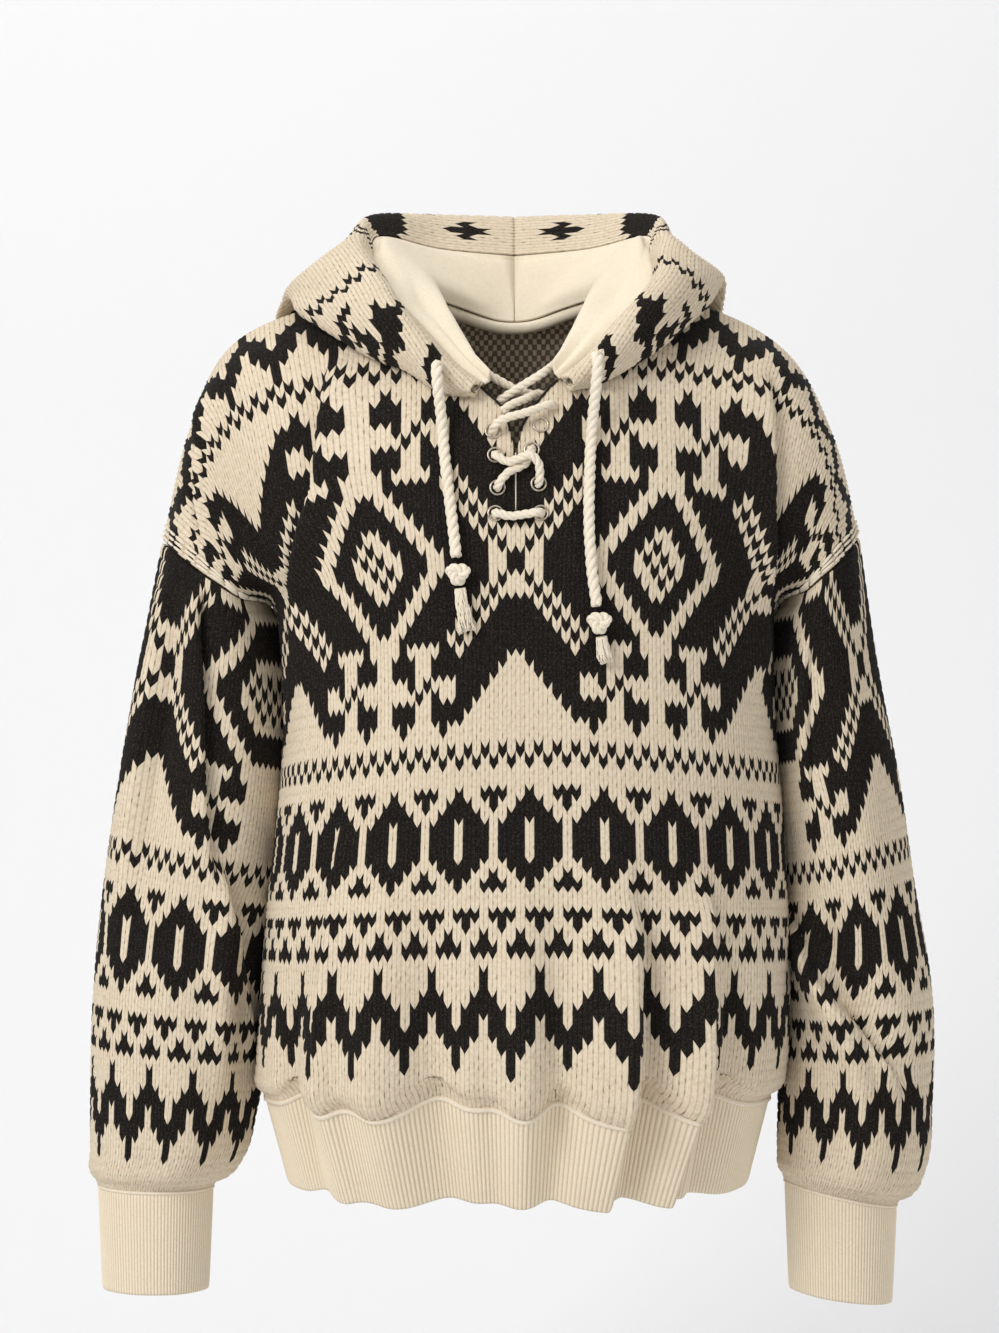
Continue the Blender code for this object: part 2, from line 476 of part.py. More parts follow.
def sleeve(angle, row, side):
    """Points of a sleeve. Its top ring lies on the body's armhole edge."""
    angle = np.asarray(angle, float)
    row = np.asarray(row, float)
    net = SLEEVE_NETS[side]

    def smooth(a, r):
        by_row = spread(SLEEVE_NET_ROWS, r)
        by_angle = spread(ROUND_SLEEVE, a, loop=360.0)
        points = np.einsum("qi,qj,ijk->qk", by_row, by_angle, net)
        top = np.einsum("qj,jk->qk", by_angle, net[-1])
        return points + (armhole(a, side) - top) * ramp(r, SLEEVE_ROWS - 10, SLEEVE_ROWS)[:, None]

    # Going round by the front turns opposite ways on the two sides.
    normal = normals(smooth, angle, row, 360.0, 1.0) * (1.0 if side < 0 else -1.0)
    height = np.zeros_like(angle)
    for deepest, down, up, foot, head, reach_back, reach_on, rise in SLEEVE_FOLD_TABLES[side]:
        share = (row - (deepest - down)) / (down + up)
        centre = foot + (head - foot) * np.clip(share, 0, 1)
        offset = np.mod(angle - centre + 180, 360) - 180
        reach = np.where(offset < 0, reach_back, reach_on)
        distance = np.where(row < deepest, (deepest - row) / down, (row - deepest) / up)
        height += rise * np.exp(-((offset / reach) ** 2)) * (1 - ramp(distance, 0.2, 1.0))
    height *= 1 - ramp(row, SLEEVE_ROWS - 4, SLEEVE_ROWS)
    height *= ramp(row, 0, 3)
    return smooth(angle, row) + normal * height[:, None]


# ---------------------------------------------------------------- edges and the hood's surfaces
def edge_across(row, side):
    """Place across of the front's edge beside the opening and the neck."""
    table = FRONT_EDGE_RIGHT if side < 0 else FRONT_EDGE_LEFT
    return np.interp(row, [r[0] for r in table], [r[1] for r in table])


def back_top_row(across):
    """The back panel's top row: the neckline near the centre, then the shoulder seam."""
    share = np.clip(np.abs(across) / NECK_HALF_SPAN, 0, 1)
    return BACK_NECK_ROW + (ROWS_TO_SHOULDER - BACK_NECK_ROW) * share**BACK_NECK_POWER


def neck_point(way, side):
    """Point of the neckline at a way round it, its place across and row, and if it is on the back."""
    front = way <= HOOD_SHOULDER
    if front:
        seam = HOOD_SEAM_RIGHT if side < 0 else HOOD_SEAM_LEFT
        row = float(np.interp(way, [w for w, _ in seam], [r for _, r in seam]))
        across = side * float(edge_across(row, side))
    else:
        across = side * NECK_HALF_SPAN * (1 - way) / (1 - HOOD_SHOULDER)
        row = float(back_top_row(across))
    return across, row, not front


def neck_frame(way, side):
    """The neckline's point, and unit vectors out of the cloth and into the neck."""
    across, row, back = neck_point(way, side)
    point = body([across], [row], back)[0]
    normal = surface_normal(across, row, back)
    before = neck_point(max(way - 0.02, 0.0), side)
    after = neck_point(min(way + 0.02, 1.0), side)
    start = body([before[0]], [before[1]], before[2])[0]
    end = body([after[0]], [after[1]], after[2])[0]
    along = (end - start) / np.linalg.norm(end - start)
    inward = np.cross(normal, along) * side
    return point, normal, inward / np.linalg.norm(inward)


def surface_normal(across, row, back=False):
    """Unit normal out of a body panel's surface, folds and all."""
    step = 0.004
    low = max(row - 0.3, 0.0)
    high = min(row + 0.3, ROWS_TO_SHOULDER)
    left = max(across - step, -1.0)
    right = min(across + step, 1.0)
    along = body([right], [row], back)[0] - body([left], [row], back)[0]
    up = body([across], [high], back)[0] - body([across], [low], back)[0]
    normal = np.cross(along, up) * (-1.0 if back else 1.0)
    return normal / np.linalg.norm(normal)


HOOD_WAYS = [row[0] for row in HOOD_ROWS_RIGHT]


def hood_table(side):
    """The hood's points beyond its rise: rows round the neck, then the places of a section."""
    return np.array([row[1:] for row in (HOOD_ROWS_RIGHT if side < 0 else HOOD_ROWS_LEFT)], float)


def lining_table(side):
    """The lining's points between its rise and the mouth edge."""
    return np.array([row[1:] for row in (LINING_ROWS_RIGHT if side < 0 else LINING_ROWS_LEFT)], float)


def neck_columns(way, side, inset, rise, lean):
    """Seam and rise points at each way round the neck."""
    ways, which = np.unique(np.round(way, 6), return_inverse=True)
    seam = []
    for each in ways:
        point, normal, inward = neck_frame(float(each), side)
        start = point + inward * inset
        seam.append((start, start + normal * rise + inward * lean))
    return np.array(seam)[which.reshape(-1)]


def hood(way, place, side):
    """Points of the hood's outer cloth. place is 0 at the neck seam and 1 at the mouth edge."""
    way = np.asarray(way, float)
    table = np.einsum("qi,ijk->qjk", spread(HOOD_WAYS, way), hood_table(side))
    start = neck_columns(way, side, HOOD_INSET, HOOD_RISE, HOOD_LEAN)
    return np.einsum("qj,qjk->qk", spread(HOOD_PROFILE, place), np.concatenate([start, table], axis=1))


def lining(way, place, side):
    """Points of the lining. place is 0 at the neck seam and 1 at the mouth edge."""
    way = np.asarray(way, float)
    table = np.einsum("qi,ijk->qjk", spread(HOOD_WAYS, way), lining_table(side))
    start = neck_columns(way, side, LINING_INSET, LINING_RISE, LINING_LEAN)
    last = hood(way, np.ones_like(way), side)
    onward = last - hood(way, np.full_like(way, 0.985), side)
    onward /= np.linalg.norm(onward, axis=1, keepdims=True)
    edge = (last + onward * (SEAM_GAP + FLEECE_WALL * 0.8))[:, None]
    net = np.concatenate([start, table, edge], axis=1)
    return np.einsum("qj,qjk->qk", spread(LINING_PROFILE, place), net)


# ---------------------------------------------------------------- walls
def vertex_normals(points, quads):
    """Unit normals of a net's points, from the quads round each."""
    corners = points[quads]
    face = np.cross(corners[:, 2] - corners[:, 0], corners[:, 3] - corners[:, 1])
    total = np.zeros_like(points)
    for corner in range(4):
        np.add.at(total, quads[:, corner], face)
    return total / np.maximum(np.linalg.norm(total, axis=1, keepdims=True), 1e-12)


def flattened(normal, axis):
    """A normal turned into the plane across an axis, lengthened to keep the wall's thickness."""
    axis = np.asarray(axis, float)
    turned = normal - (normal @ axis)[:, None] * axis
    size = np.linalg.norm(turned, axis=1, keepdims=True)
    return turned / np.maximum(size, 0.5) ** 2


def wall(name, points, quads, thickness, colour, offsets=None):
    """A closed wall round a net. offsets are its points' outward vectors, one wall thick each."""
    if offsets is None:
        offsets = vertex_normals(points, quads)
    outer = points + offsets * thickness / 2
    inner = points - offsets * thickness / 2
    count = len(points)
    faces = []
    for a, b, c, d in quads:
        # one diagonal for both faces keeps the wall even where a quad is twisted
        if np.linalg.norm(points[a] - points[c]) <= np.linalg.norm(points[b] - points[d]):
            halves = ((a, b, c), (a, c, d))
        else:
            halves = ((a, b, d), (b, c, d))
        for half in halves:
            faces.append(half)
            faces.append(tuple(int(v) + count for v in reversed(half)))
    uses = {}
    for quad in quads:
        for a, b in zip(quad, np.roll(quad, -1)):
            uses[(int(a), int(b))] = uses.get((int(a), int(b)), 0) + 1
    for a, b in uses:
        if (b, a) not in uses:
            faces.append((b, a, a + count, b + count))
    return add_mesh(name, np.concatenate([outer, inner]), faces, colour)


def grid_quads(rows, columns, closed=False):
    """Quads of a grid of points, row by row; closed joins the last column to the first."""
    quads = []
    for i in range(rows - 1):
        for j in range(columns if closed else columns - 1):
            k = (j + 1) % columns
            quads.append((i * columns + j, i * columns + k, (i + 1) * columns + k, (i + 1) * columns + j))
    return np.array(quads)


def add_mesh(name, points, faces, colour):
    """A named object with its own material."""
    mesh = bpy.data.meshes.new(name)
    corners = [tuple(float(v) for v in point) for point in points]
    mesh.from_pydata(corners, [], [tuple(int(v) for v in face) for face in faces])
    mesh.update()
    return add_object(name, mesh, colour)


def add_object(name, data, colour):
    """Links an object and gives it its own Principled material."""
    item = bpy.data.objects.new(name, data)
    bpy.context.scene.collection.objects.link(item)
    material = bpy.data.materials.new(name + "_material")
    material.use_nodes = True
    shader = next(n for n in material.node_tree.nodes if n.type == "BSDF_PRINCIPLED")
    red, green, blue, roughness, metallic = colour
    shader.inputs["Base Color"].default_value = (red, green, blue, 1.0)
    shader.inputs["Roughness"].default_value = roughness
    shader.inputs["Metallic"].default_value = metallic
    data.materials.append(material)
    return item


# ---------------------------------------------------------------- colours
KNIT_COLOUR = (0.30, 0.28, 0.24, 0.9, 0.0)
RIB_COLOUR = (0.66, 0.56, 0.40, 0.9, 0.0)
FLEECE_COLOUR = (0.62, 0.55, 0.42, 0.95, 0.0)
ROPE_COLOUR = (0.75, 0.66, 0.50, 0.85, 0.0)
METAL_COLOUR = (0.45, 0.40, 0.33, 0.35, 1.0)

# ---------------------------------------------------------------- rows and columns of the meshes
LOWER_ROWS = (0.0, 1.6, 4.0, 8.5, 13.5, 19.0, 25.0, 31.0, 38.5)
UPPER_ROWS = (46.0, 50.3, 54.2, 57.0, 59.4, 61.5, 63.0, 64.6, 66.5, 69.3, 72.0, 74.6, 77.0)
BODY_MESH_ROWS = LOWER_ROWS + UPPER_ROWS
FRONT_COLUMNS = 14  # to each side of the centre
BACK_COLUMNS = (0.0, 0.05, 0.1, 0.15, 0.2, 0.28, 0.37, 0.46, 0.55, 0.64, 0.73, 0.82, 0.91, 1.0)
LEVEL_ROW = 57.0  # above it the back's rows sink towards the neckline
SLEEVE_COLUMNS = 32
SLEEVE_MESH_ROWS = (0.0, 1.6, 4.0, 8.5, 14.0, 20.0, 26.0, 32.0, 38.5, 45.0, 50.5, 54.5, 58.0)
HOOD_MESH_WAYS = (
    0.0, 0.08, 0.15, 0.23, 0.30, 0.38, 0.45, 0.53, 0.60, 0.66, 0.70, 0.75, 0.79, 0.83, 0.87, 0.90,
    0.925, 0.95, 0.975, 1.0,
)
HOOD_MESH_PLACES = (0.0, 0.07, 0.14, 0.25, 0.35, 0.42, 0.48, 0.56, 0.66, 0.76, 0.86, 0.93, 1.0)
LINING_MESH_PLACES = (0.0, 0.18, 0.37, 0.55, 0.70, 0.82, 1.0)
EYELET_SIDES = 16

# ---------------------------------------------------------------- clearances at seams
SIDE_GAP = SEAM_GAP * 0.55  # each panel's share of the gap at a seam they share
HOOD_INSET = SEAM_GAP * 5 + KNIT_WALL * 0.6  # the hood's seam, in from the neckline
HOOD_LEAN = 0.0006  # how far its rise leans into the neck
LINING_INSET = SEAM_GAP * 10 + KNIT_WALL * 1.1 + FLEECE_WALL / 2
LINING_LEAN = 0.002
SLEEVE_INSET = SEAM_GAP + KNIT_WALL * 0.55  # the sleeve's top, down from the armhole
UNDERARM_CLEAR = 0.0024
UNDERARM_SPREAD = 40.0  # degrees round the sleeve over which its underside stands off the body
EYELET_CLEAR = 0.0007
SLIT_FOOT_ROW = FRONT_EDGE_RIGHT[0][0]


def seam_offsets(points, normals_out, rows, across):
    """Turns a panel's edges into the planes of its seams."""
    offsets = normals_out.copy()
    foot = rows <= 0.01
    offsets[foot] = flattened(normals_out[foot], (0, 0, 1))
    side = (np.abs(across) > 0.999) & (rows < ROWS_TO_UNDERARM + 0.01)
    shoulder = (rows > ROWS_TO_SHOULDER - 0.01) & (np.abs(across) > NECK_HALF_SPAN - 0.001)
    seam = side | shoulder
    offsets[seam] = flattened(offsets[seam], (0, 1, 0))
    return offsets, seam


def build_front():
    """The front, whole below the laced opening and with two edges beside it, and its foot's points."""
    points = []
    index = {}
    rows = []
    places = []
    for i, row in enumerate(BODY_MESH_ROWS):
        for side in (-1, 1):
            start = float(edge_across(row, side)) if row > SLIT_FOOT_ROW else 0.0
            for k in range(FRONT_COLUMNS + 1):
                if k == 0 and side > 0 and row <= SLIT_FOOT_ROW:
                    index[(i, side, k)] = index[(i, -1, 0)]
                    continue
                index[(i, side, k)] = len(points)
                across = side * (start + (1 - start) * k / FRONT_COLUMNS)
                points.append(body([across], [row])[0])
                rows.append(row)
                places.append(across)
    quads = []
    for i in range(len(BODY_MESH_ROWS) - 1):
        for side in (-1, 1):
            for k in range(FRONT_COLUMNS):
                quad = [index[(i, side, k)], index[(i, side, k + 1)]]
                quad += [index[(i + 1, side, k + 1)], index[(i + 1, side, k)]]
                quads.append(quad if side > 0 else quad[::-1])
    points = np.array(points)
    quads = np.array(quads)
    offsets, seam = seam_offsets(points, vertex_normals(points, quads), np.array(rows), np.array(places))
    points[seam, 1] -= SIDE_GAP
    panel = wall("front_panel", points, quads, KNIT_WALL, KNIT_COLOUR, offsets)
    foot = [index[(0, -1, k)] for k in range(FRONT_COLUMNS, 0, -1)]
    foot += [index[(0, 1, k)] for k in range(FRONT_COLUMNS + 1)]
    return panel, points[foot]


def build_back():
    """The back, with its neckline cut into the top. Returns its foot's points."""
    across = np.array([-a for a in BACK_COLUMNS[:0:-1]] + list(BACK_COLUMNS))
    grid_across, grid_row = np.meshgrid(across, np.array(BODY_MESH_ROWS))
    squeeze = (back_top_row(grid_across) - LEVEL_ROW) / (ROWS_TO_SHOULDER - LEVEL_ROW)
    squeezed = LEVEL_ROW + (grid_row - LEVEL_ROW) * squeeze
    grid_row = np.where(grid_row > LEVEL_ROW, squeezed, grid_row)
    rows = grid_row.ravel()
    places = grid_across.ravel()
    points = body(places, rows, True)
    quads = grid_quads(len(BODY_MESH_ROWS), len(across))[:, ::-1]
    offsets, seam = seam_offsets(points, vertex_normals(points, quads), rows, places)
    points[seam, 1] += SIDE_GAP
    wall("back_panel", points, quads, KNIT_WALL, KNIT_COLOUR, offsets)
    return points[: len(across)]


def sleeve_angles():
    """Angles round a sleeve: those of the body's rows, with the widest gaps halved."""
    upper = [a for a in UPPER_ROWS if a >= ROWS_TO_UNDERARM]
    front = np.interp(upper, ARMHOLE_ROWS, ROUND_SLEEVE[:5])
    angles = sorted(set(list(front) + [360.0 - a for a in front[1:-1]]))
    while len(angles) < SLEEVE_COLUMNS:
        gaps = np.diff(angles + [360.0])
        widest = int(np.argmax(gaps))
        angles.insert(widest + 1, angles[widest] + gaps[widest] / 2)
    return np.array(angles)


def armhole_chords(angles, side):
    """Points on the armhole's mesh edge, so that the sleeve's top runs side by side with it."""
    rows, back = armhole_row(angles)
    known = np.array(UPPER_ROWS)
    ring = []
    for row, behind in zip(rows, back):
        low = known[max(np.searchsorted(known, row, side="right") - 1, 0)]
        high = known[min(np.searchsorted(known, row), len(known) - 1)]
        share = 0.0 if high == low else (row - low) / (high - low)
        ends = body([side, side], [low, high], bool(behind))
        ring.append(ends[0] * (1 - share) + ends[1] * share)
    return np.array(ring)


def build_sleeve(side, name):
    """One sleeve, its top ring standing just off the body's armhole. Returns its foot's points."""
    angles = sleeve_angles()
    grid_angle, grid_row = np.meshgrid(angles, np.array(SLEEVE_MESH_ROWS))
    flat_angle = grid_angle.ravel()
    points = sleeve(flat_angle, grid_row.ravel(), side)
    columns = len(angles)
    quads = grid_quads(len(SLEEVE_MESH_ROWS), columns, closed=True)
    if side < 0:
        quads = quads[:, ::-1]
    shape = points.reshape(len(SLEEVE_MESH_ROWS), columns, 3)
    ring = armhole_chords(angles, side)
    onward = shape[-2] - ring
    onward /= np.linalg.norm(onward, axis=1, keepdims=True)
    turn = np.abs(np.mod(angles + 180, 360) - 180)
    under = np.exp(-((turn / UNDERARM_SPREAD) ** 2))
    outward = np.zeros((columns, 3))
    outward[:, 0] = side
    shift = onward * (SLEEVE_INSET * (1 - under))[:, None]
    shift += outward * ((KNIT_WALL + UNDERARM_CLEAR) * under)[:, None]
    shape[-2] += outward * (UNDERARM_CLEAR * under)[:, None]
    shape[-1] = ring + shift
    points = shape.reshape(-1, 3)
    offsets = vertex_normals(points, quads)
    offsets[:columns] = flattened(offsets[:columns], (0, 0, 1))
    wall(name, points, quads, KNIT_WALL, KNIT_COLOUR, offsets)
    return shape[0]


def band_ring(name, top, foot, levels, thickness):
    """A rib band between two rings of points."""
    rings = [top * (1 - t) + foot * t for t in levels]
    points = np.concatenate(rings)
    quads = grid_quads(len(levels), len(top), closed=True)
    centre = top.mean(axis=0)
    corners = points[quads[0]]
    out = np.cross(corners[2] - corners[0], corners[3] - corners[1])
    if out @ (corners.mean(axis=0) - centre) < 0:
        quads = quads[:, ::-1]
    offsets = vertex_normals(points, quads)
    count = len(top)
    offsets[:count] = flattened(offsets[:count], (0, 0, 1))
    wall(name, points, quads, thickness, RIB_COLOUR, offsets)


def build_hem(front_foot, back_foot):
    """The hem band, one ring under both panels."""
    ring = np.concatenate([front_foot, back_foot[::-1][1:-1]])
    ring[0, 1] = 0.0
    ring[2 * FRONT_COLUMNS, 1] = 0.0
    top = ring - (0, 0, SEAM_GAP * 2)
    out = ring * (1, 1, 0)
    out /= np.linalg.norm(out, axis=1, keepdims=True)
    calm = spread(np.arange(0, len(ring), HEM_CALM), np.arange(len(ring)), loop=len(ring))
    calm = calm @ top[::HEM_CALM]
    foot = (top + calm) / 2 - out * HEM_BAND_PULL
    side_share = np.abs(ring[:, 0]) / np.abs(ring[:, 0]).max()
    foot[:, 2] -= HEM_BAND_HEIGHT - HEM_SIDE_LIFT * side_share**4
    band_ring("hem_band", top, foot, (0.0, 0.35, 1.0), RIB_WALL)


def build_cuff(name, ring):
    """A cuff under one sleeve."""
    top = ring - (0, 0, SEAM_GAP)
    centre = top.mean(axis=0)
    out = (top - centre) * (1, 1, 0)
    out /= np.linalg.norm(out, axis=1, keepdims=True)
    foot = top - out * CUFF_PULL
    foot[:, 2] = centre[2] + (top[:, 2] - centre[2]) * CUFF_FOOT_SLANT - CUFF_HEIGHT
    band_ring(name, top, foot, (0.0, 0.5, 1.0), RIB_WALL)


def build_hood(name, side, surface, places, thickness, colour):
    """One half of the hood's outer cloth or of its lining, to the centre back seam."""
    grid_place, grid_way = np.meshgrid(np.array(places), np.array(HOOD_MESH_WAYS))
    points = surface(grid_way.ravel(), grid_place.ravel(), side)
    quads = grid_quads(len(HOOD_MESH_WAYS), len(places))
    if side > 0:
        quads = quads[:, ::-1]
    offsets = vertex_normals(points, quads)
    centre = grid_way.ravel() > 0.999
    offsets[centre] = flattened(offsets[centre], (1, 0, 0))
    points[centre, 0] = side * SIDE_GAP
    wall(name, points, quads, thickness, colour, offsets)


# ---------------------------------------------------------------- cords and metal
def smooth_way(points, step):
    """Points a step apart along a smooth curve through hand-set ones."""
    points = np.asarray(points, float)
    chord = np.r_[0, np.cumsum(np.linalg.norm(np.diff(points, axis=0), axis=1) ** 0.5)]
    fine = spread(chord, np.linspace(0, chord[-1], 40 * len(points))) @ points
    length = np.r_[0, np.cumsum(np.linalg.norm(np.diff(fine, axis=0), axis=1))]
    count = max(int(round(length[-1] / step)), 2)
    wanted = np.linspace(0, length[-1], count + 1)
    return np.stack([np.interp(wanted, length, fine[:, k]) for k in range(3)], axis=1)


def on_front(way):
    """Points off the front: place across, row, distance out."""
    return np.array([body([a], [r])[0] + surface_normal(a, r) * lift for a, r, lift in way])


def tube(name, centres, radii, sides, colour, flat=1.0):
    """A closed tube along a line of centres."""
    centres = np.asarray(centres, float)
    tangent = np.gradient(centres, axis=0)
    tangent /= np.linalg.norm(tangent, axis=1, keepdims=True)
    across = np.cross(tangent[0], (0.0, 1.0, 0.0))
    if np.linalg.norm(across) < 0.2:
        across = np.cross(tangent[0], (1.0, 0.0, 0.0))
    points = []
    for centre, forward, radius in zip(centres, tangent, radii):
        across = across - forward * (across @ forward)
        across /= np.linalg.norm(across)
        other = np.cross(forward, across)
        for k in range(sides):
            turn = 2 * math.pi * k / sides
            points.append(centre + radius * (across * math.cos(turn) + other * math.sin(turn) * flat))
    faces = [tuple(q) for q in grid_quads(len(centres), sides, closed=True)]
    faces.append(tuple(reversed(range(sides))))
    last = (len(centres) - 1) * sides
    faces.append(tuple(range(last, last + sides)))
    return add_mesh(name, points, faces, colour)


def free_cord(name, centres, diameter, colour):
    """A cord as one open line with a round thickness."""
    curve = bpy.data.curves.new(name, "CURVE")
    curve.dimensions = "3D"
    curve.bevel_depth = diameter / 2
    curve.bevel_resolution = 2
    curve.use_fill_caps = True
    line = curve.splines.new("POLY")
    line.points.add(len(centres) - 1)
    for point, centre in zip(line.points, centres):
        point.co = (*[float(v) for v in centre], 1.0)
    return add_object(name, curve, colour)


def knot(name, centre, radii):
    """An overhand knot's lump, with three soft lobes."""
    rings = 7
    sides = 12
    points = [np.array(centre) + (0, 0, -radii[2])]
    for i in range(1, rings):
        lift = math.pi * i / rings
        for k in range(sides):
            turn = 2 * math.pi * k / sides
            lobe = 1 + 0.08 * math.cos(3 * turn + 2.2 * math.cos(lift))
            x = radii[0] * math.sin(lift) * math.cos(turn) * lobe
            y = radii[1] * math.sin(lift) * math.sin(turn) * lobe
            points.append(np.array(centre) + (x, y, -radii[2] * math.cos(lift)))
    points.append(np.array(centre) + (0, 0, radii[2]))
    faces = [tuple(q + 1) for q in grid_quads(rings - 1, sides, closed=True)]
    top = len(points) - 1
    last = top - sides
    for k in range(sides):
        after = (k + 1) % sides
        faces.append((0, 1 + after, 1 + k))
        faces.append((top, last + k, last + after))
    return add_mesh(name, points, faces, ROPE_COLOUR)


def frame_at(across, row):
    """A point of the front's middle surface with its outward, sideways and upward directions."""
    point = body([across], [row])[0]
    out = surface_normal(across, row)
    sideways = np.cross((0.0, 0.0, 1.0), out) * -1.0
    sideways /= np.linalg.norm(sideways)
    return point, out, sideways, np.cross(out, sideways)


def build_eyelet(name, across, row):
    """A metal eyelet: a barrel through the cloth and a flange on each face."""
    inner = KNIT_WALL / 2 + EYELET_CLEAR
    outer = inner + EYELET_METAL
    profile = (
        (EYELET_BORE, -outer), (EYELET_FLANGE, -outer), (EYELET_FLANGE, -inner), (EYELET_BARREL, -inner),
        (EYELET_BARREL, inner), (EYELET_FLANGE, inner), (EYELET_FLANGE, outer), (EYELET_BORE, outer),
    )
    point, out, sideways, upward = frame_at(across, row)
    points = []
    for k in range(EYELET_SIDES):
        turn = 2 * math.pi * k / EYELET_SIDES
        direction = sideways * math.cos(turn) + upward * math.sin(turn)
        points += [point + direction * radius + out * lift for radius, lift in profile]
    count = len(profile)
    faces = []
    for k in range(EYELET_SIDES):
        after = (k + 1) % EYELET_SIDES
        for j in range(count):
            n = (j + 1) % count
            faces.append((k * count + j, after * count + j, after * count + n, k * count + n))
    item = add_mesh(name, points, faces, METAL_COLOUR)
    face_outward(item)
    return item


def face_outward(item):
    """Turns a closed mesh's faces outward."""
    mesh = bmesh.new()
    mesh.from_mesh(item.data)
    bmesh.ops.recalc_face_normals(mesh, faces=mesh.faces)
    mesh.to_mesh(item.data)
    mesh.free()


def cut_holes(panel):
    """Cuts the eyelets' holes and the plain lace hole through the front."""
    cuts = [(place, EYELET_BARREL + SEAM_GAP) for place in EYELETS.values()]
    cuts.append((LACE_HOLE, LACE_DIAMETER / 2 + SEAM_GAP * 2))
    for number, ((across, row), radius) in enumerate(cuts):
        point, out, sideways, upward = frame_at(across, row)
        points = []
        for reach in (-0.008, 0.008):
            for k in range(EYELET_SIDES):
                turn = 2 * math.pi * (k + 0.5) / EYELET_SIDES
                spoke = sideways * math.cos(turn) + upward * math.sin(turn)
                points.append(point + spoke * radius + out * reach)
        faces = [tuple(q) for q in grid_quads(2, EYELET_SIDES, closed=True)]
        faces.append(tuple(reversed(range(EYELET_SIDES))))
        faces.append(tuple(range(EYELET_SIDES, 2 * EYELET_SIDES)))
        cutter = add_mesh(f"cutter_{number}", points, faces, METAL_COLOUR)
        face_outward(cutter)
        cutter.hide_render = True
        cutter.display_type = "WIRE"
        cut = panel.modifiers.new(cutter.name, "BOOLEAN")
        cut.operation = "DIFFERENCE"
        cut.solver = "EXACT"
        cut.object = cutter


def build_cords():
    """The lace, the drawstrings with their knots and frayed ends, and the cords across the neck."""
    centres = smooth_way(on_front(LACE_WAY), LACE_STEP)
    lace = tube("lace", centres, [LACE_DIAMETER / 2] * len(centres), LACE_SIDES, ROPE_COLOUR)
    face_outward(lace)
    for side, way, knot_place, tassel_way in (
        ("right", DRAWSTRING_WAY_RIGHT, KNOT_RIGHT, TASSEL_WAY_RIGHT),
        ("left", DRAWSTRING_WAY_LEFT, KNOT_LEFT, TASSEL_WAY_LEFT),
    ):
        centres = smooth_way(on_front(way), DRAWSTRING_DIAMETER)
        free_cord(f"drawstring_{side}", centres, DRAWSTRING_DIAMETER, ROPE_COLOUR)
        face_outward(knot(f"drawstring_knot_{side}", on_front([knot_place])[0], KNOT_RADII))
        centres = smooth_way(on_front(tassel_way), 0.005)
        radii = np.interp(np.linspace(0, 2, len(centres)), (0, 1, 2), TASSEL_RADII)
        face_outward(tube(f"drawstring_tassel_{side}", centres, radii, 10, ROPE_COLOUR, 0.8))
    for side, way in (("right", NECK_CORD_RIGHT), ("left", NECK_CORD_LEFT)):
        free_cord(f"neck_cord_{side}", smooth_way(way, LACE_DIAMETER * 1.2), LACE_DIAMETER, ROPE_COLOUR)


def build():
    """All the pieces."""
    for item in list(bpy.data.objects):
        bpy.data.objects.remove(item)
    panel, front_foot = build_front()
    cut_holes(panel)
    back_foot = build_back()
    for side, name in ((-1, "right"), (1, "left")):
        build_cuff(f"cuff_{name}", build_sleeve(side, f"sleeve_{name}"))
        build_hood(f"hood_{name}", side, hood, HOOD_MESH_PLACES, KNIT_WALL, KNIT_COLOUR)
        build_hood(f"hood_lining_{name}", side, lining, LINING_MESH_PLACES, FLEECE_WALL, FLEECE_COLOUR)
    build_hem(front_foot, back_foot)
    for name, (across, row) in EYELETS.items():
        build_eyelet(name, across, row)
    build_cords()


build()
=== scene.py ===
"""Looks of the hooded jacquard sweater: knit shells, ribs, hood and lining, eyelets and ropes.

Metres, +Z up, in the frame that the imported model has. The front faces -Y, the wearer's right is -X.
The nets, folds and routes below are the ones that its solids are made from, but for a few rows of
the sleeves. The sharp creases, the hang of the knit rows, the sleeves' press towards the body and
the drawing in of the hood's sides are set here alone, so the cloth leaves its solid there.
"""

import math

import bpy
import numpy as np
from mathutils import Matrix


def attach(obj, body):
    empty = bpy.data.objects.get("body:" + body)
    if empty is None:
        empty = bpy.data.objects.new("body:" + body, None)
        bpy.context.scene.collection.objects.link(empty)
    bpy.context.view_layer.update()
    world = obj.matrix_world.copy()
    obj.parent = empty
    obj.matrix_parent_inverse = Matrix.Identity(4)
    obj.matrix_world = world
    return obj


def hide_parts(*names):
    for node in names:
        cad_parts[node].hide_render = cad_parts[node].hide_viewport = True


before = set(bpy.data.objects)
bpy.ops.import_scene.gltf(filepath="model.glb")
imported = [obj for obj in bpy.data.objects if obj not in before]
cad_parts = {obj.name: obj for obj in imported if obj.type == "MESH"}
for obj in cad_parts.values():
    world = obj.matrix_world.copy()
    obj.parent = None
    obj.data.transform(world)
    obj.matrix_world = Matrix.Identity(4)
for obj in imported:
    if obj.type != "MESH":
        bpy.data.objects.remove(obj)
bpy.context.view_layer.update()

KNIT_WALL = 0.0024  # double jacquard knit
RIB_WALL = 0.0026
FLEECE_WALL = 0.0016
SEAM_GAP = 0.0003
ROWS_TO_UNDERARM = 46  # knit rows from the rib seam to the underarm
ROWS_TO_SHOULDER = 77  # and to the shoulder seam
SLEEVE_ROWS = 58  # knit rows from the cuff seam to the armhole
LACE_DIAMETER = 0.0060
DRAWSTRING_DIAMETER = 0.0078
EYELET_BORE = 0.0040  # radius
EYELET_BARREL = 0.0044  # outer radius
EYELET_FLANGE = 0.0055  # outer radius
EYELET_METAL = 0.0006
EYELET_SIDES = 40
STEP = 1e-4  # for slopes, as a share of a net's width or height
